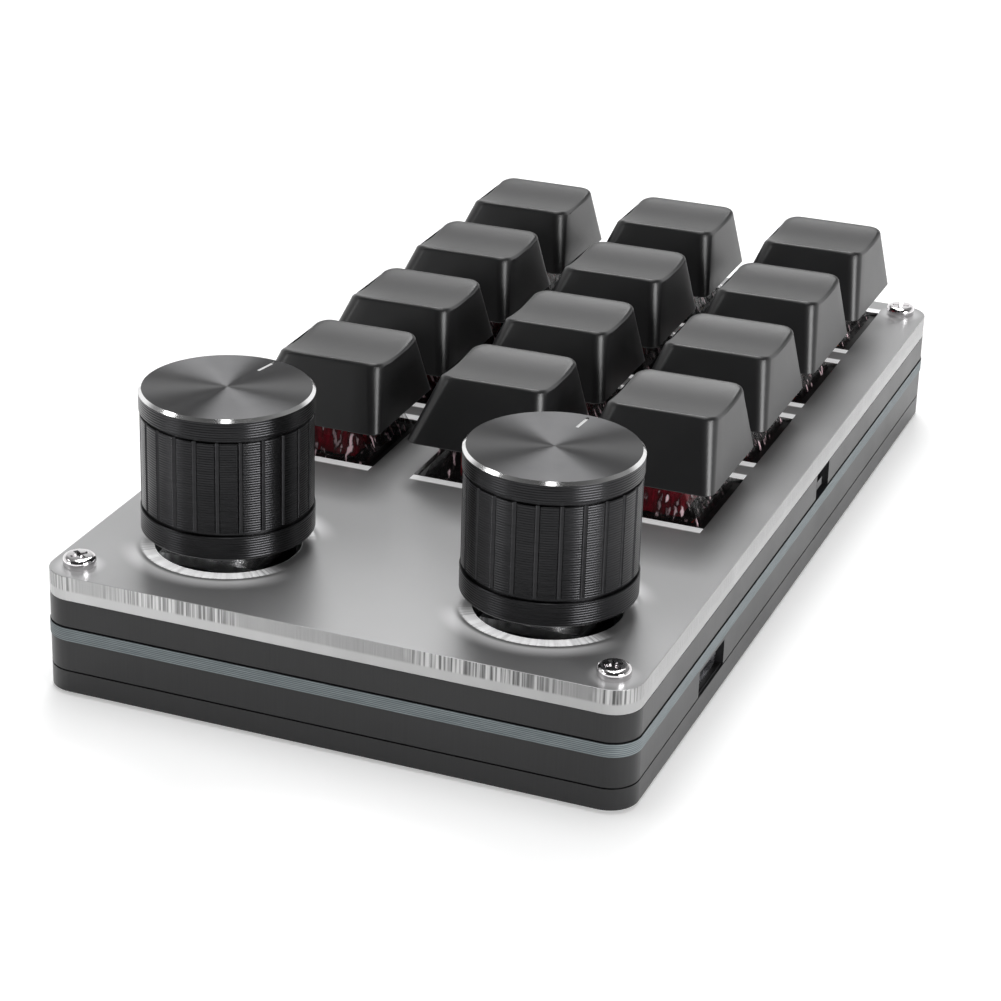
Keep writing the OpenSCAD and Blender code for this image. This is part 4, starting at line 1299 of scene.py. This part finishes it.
# %% [markdown]
# The room is a white sweep on the far side and dark behind the photographer.
# That is what draws black plastic: its tops mirror the white sweep at a flat
# angle and turn grey, while its near faces mirror the dark and stay black. The
# world does this with two slopes, from white to dark along the line of sight,
# and from bright to dim from the horizon up. Rays that look straight at the
# world, or through a clear part, meet plain white instead.

# %% Room
TO_CAMERA = (0.94, 0.34, 0.0)
SIGHT, SIGHT_LIGHT = (-0.2, 0.55), (1.0, 0.07)
CLIMB, CLIMB_LIGHT = (0.36, 0.5), (1.0, 0.24)
WHITE = (1, 1, 1, 1)
world = bpy.data.worlds.new("studio")
bpy.context.scene.world = world
world.use_nodes = True
tree = world.node_tree


def light_slope(value, run, light):
    """The light runs between two strengths while the value runs along its range."""
    sockets = {"Value": value, "From Min": run[0], "From Max": run[1]}
    sockets.update({"To Min": light[0], "To Max": light[1]})
    return add_node(tree, "ShaderNodeMapRange", None, sockets).outputs["Result"]


def world_maths(operation, first, second):
    """Two numbers of the world in one Math node."""
    return add_node(tree, "ShaderNodeMath", {"operation": operation}, {0: first, 1: second}).outputs[0]


direction = add_node(tree, "ShaderNodeTexCoord").outputs["Generated"]
dot = {"operation": "DOT_PRODUCT"}
toward = add_node(tree, "ShaderNodeVectorMath", dot, {0: direction, 1: TO_CAMERA}).outputs["Value"]
climb = add_node(tree, "ShaderNodeSeparateXYZ", None, {0: direction}).outputs["Z"]
strength = world_maths(
    "MULTIPLY", light_slope(toward, SIGHT, SIGHT_LIGHT), light_slope(climb, CLIMB, CLIMB_LIGHT))
room = add_node(tree, "ShaderNodeBackground", None, {"Color": WHITE, "Strength": strength})
white = add_node(tree, "ShaderNodeBackground", None, {"Color": WHITE})
rays = add_node(tree, "ShaderNodeLightPath").outputs
seen = world_maths("MAXIMUM", rays["Is Camera Ray"], rays["Is Transmission Ray"])
shaders = {0: seen, 1: room.outputs[0], 2: white.outputs[0]}
choose = add_node(tree, "ShaderNodeMixShader", None, shaders)
feed(tree, tree.nodes["World Output"].inputs[0], choose.outputs[0])
print("world nodes", len(tree.nodes))

# %% [markdown]
# Six softboxes: a wide one overhead for the floor, one behind that draws the
# bright wedge on the turned knob tops, two low ones, right and front left, for
# the upright bands on the knobs, and two small ones that light the bright
# facet. A side with fine rings spreads light up and down, so the low ones stand
# near the height that the rings mirror.

# %% Lamps
AIM = (0, 0, 0.015)
LAMPS = {
    "overhead": ((-0.1, -0.04, 0.8), (0.5, 0.7), 3.0),
    "back": ((-0.54, -0.2, 0.72), (0.36, 0.3), 3.0),
    "right": ((0.38, 0.75, 0.17), (0.4, 0.3), 5.5),
    "front_left": ((0.6, -0.58, 0.16), (0.26, 0.3), 1.0),
    "rim_left": ((0.16, -0.6, 0.6), (0.34, 0.1), 0.45),
    "rim_front": ((0.32, 0.1, 0.8), (0.1, 0.34), 0.3),
}


def softbox(name, place, size, power):
    """A rectangular area lamp that looks at the keypad."""
    lamp = bpy.data.lights.new(name, "AREA")
    lamp.shape, lamp.size, lamp.size_y, lamp.energy = "RECTANGLE", size[0], size[1], power
    holder = bpy.data.objects.new(name, lamp)
    bpy.context.scene.collection.objects.link(holder)
    holder.location = place
    holder.rotation_mode = "QUATERNION"
    holder.rotation_quaternion = (Vector(place) - Vector(AIM)).to_track_quat("Z", "Y")
    return holder


for name, (place, size, power) in LAMPS.items():
    softbox(name, place, size, power)
scene = bpy.context.scene
scene.view_settings.view_transform = "Standard"
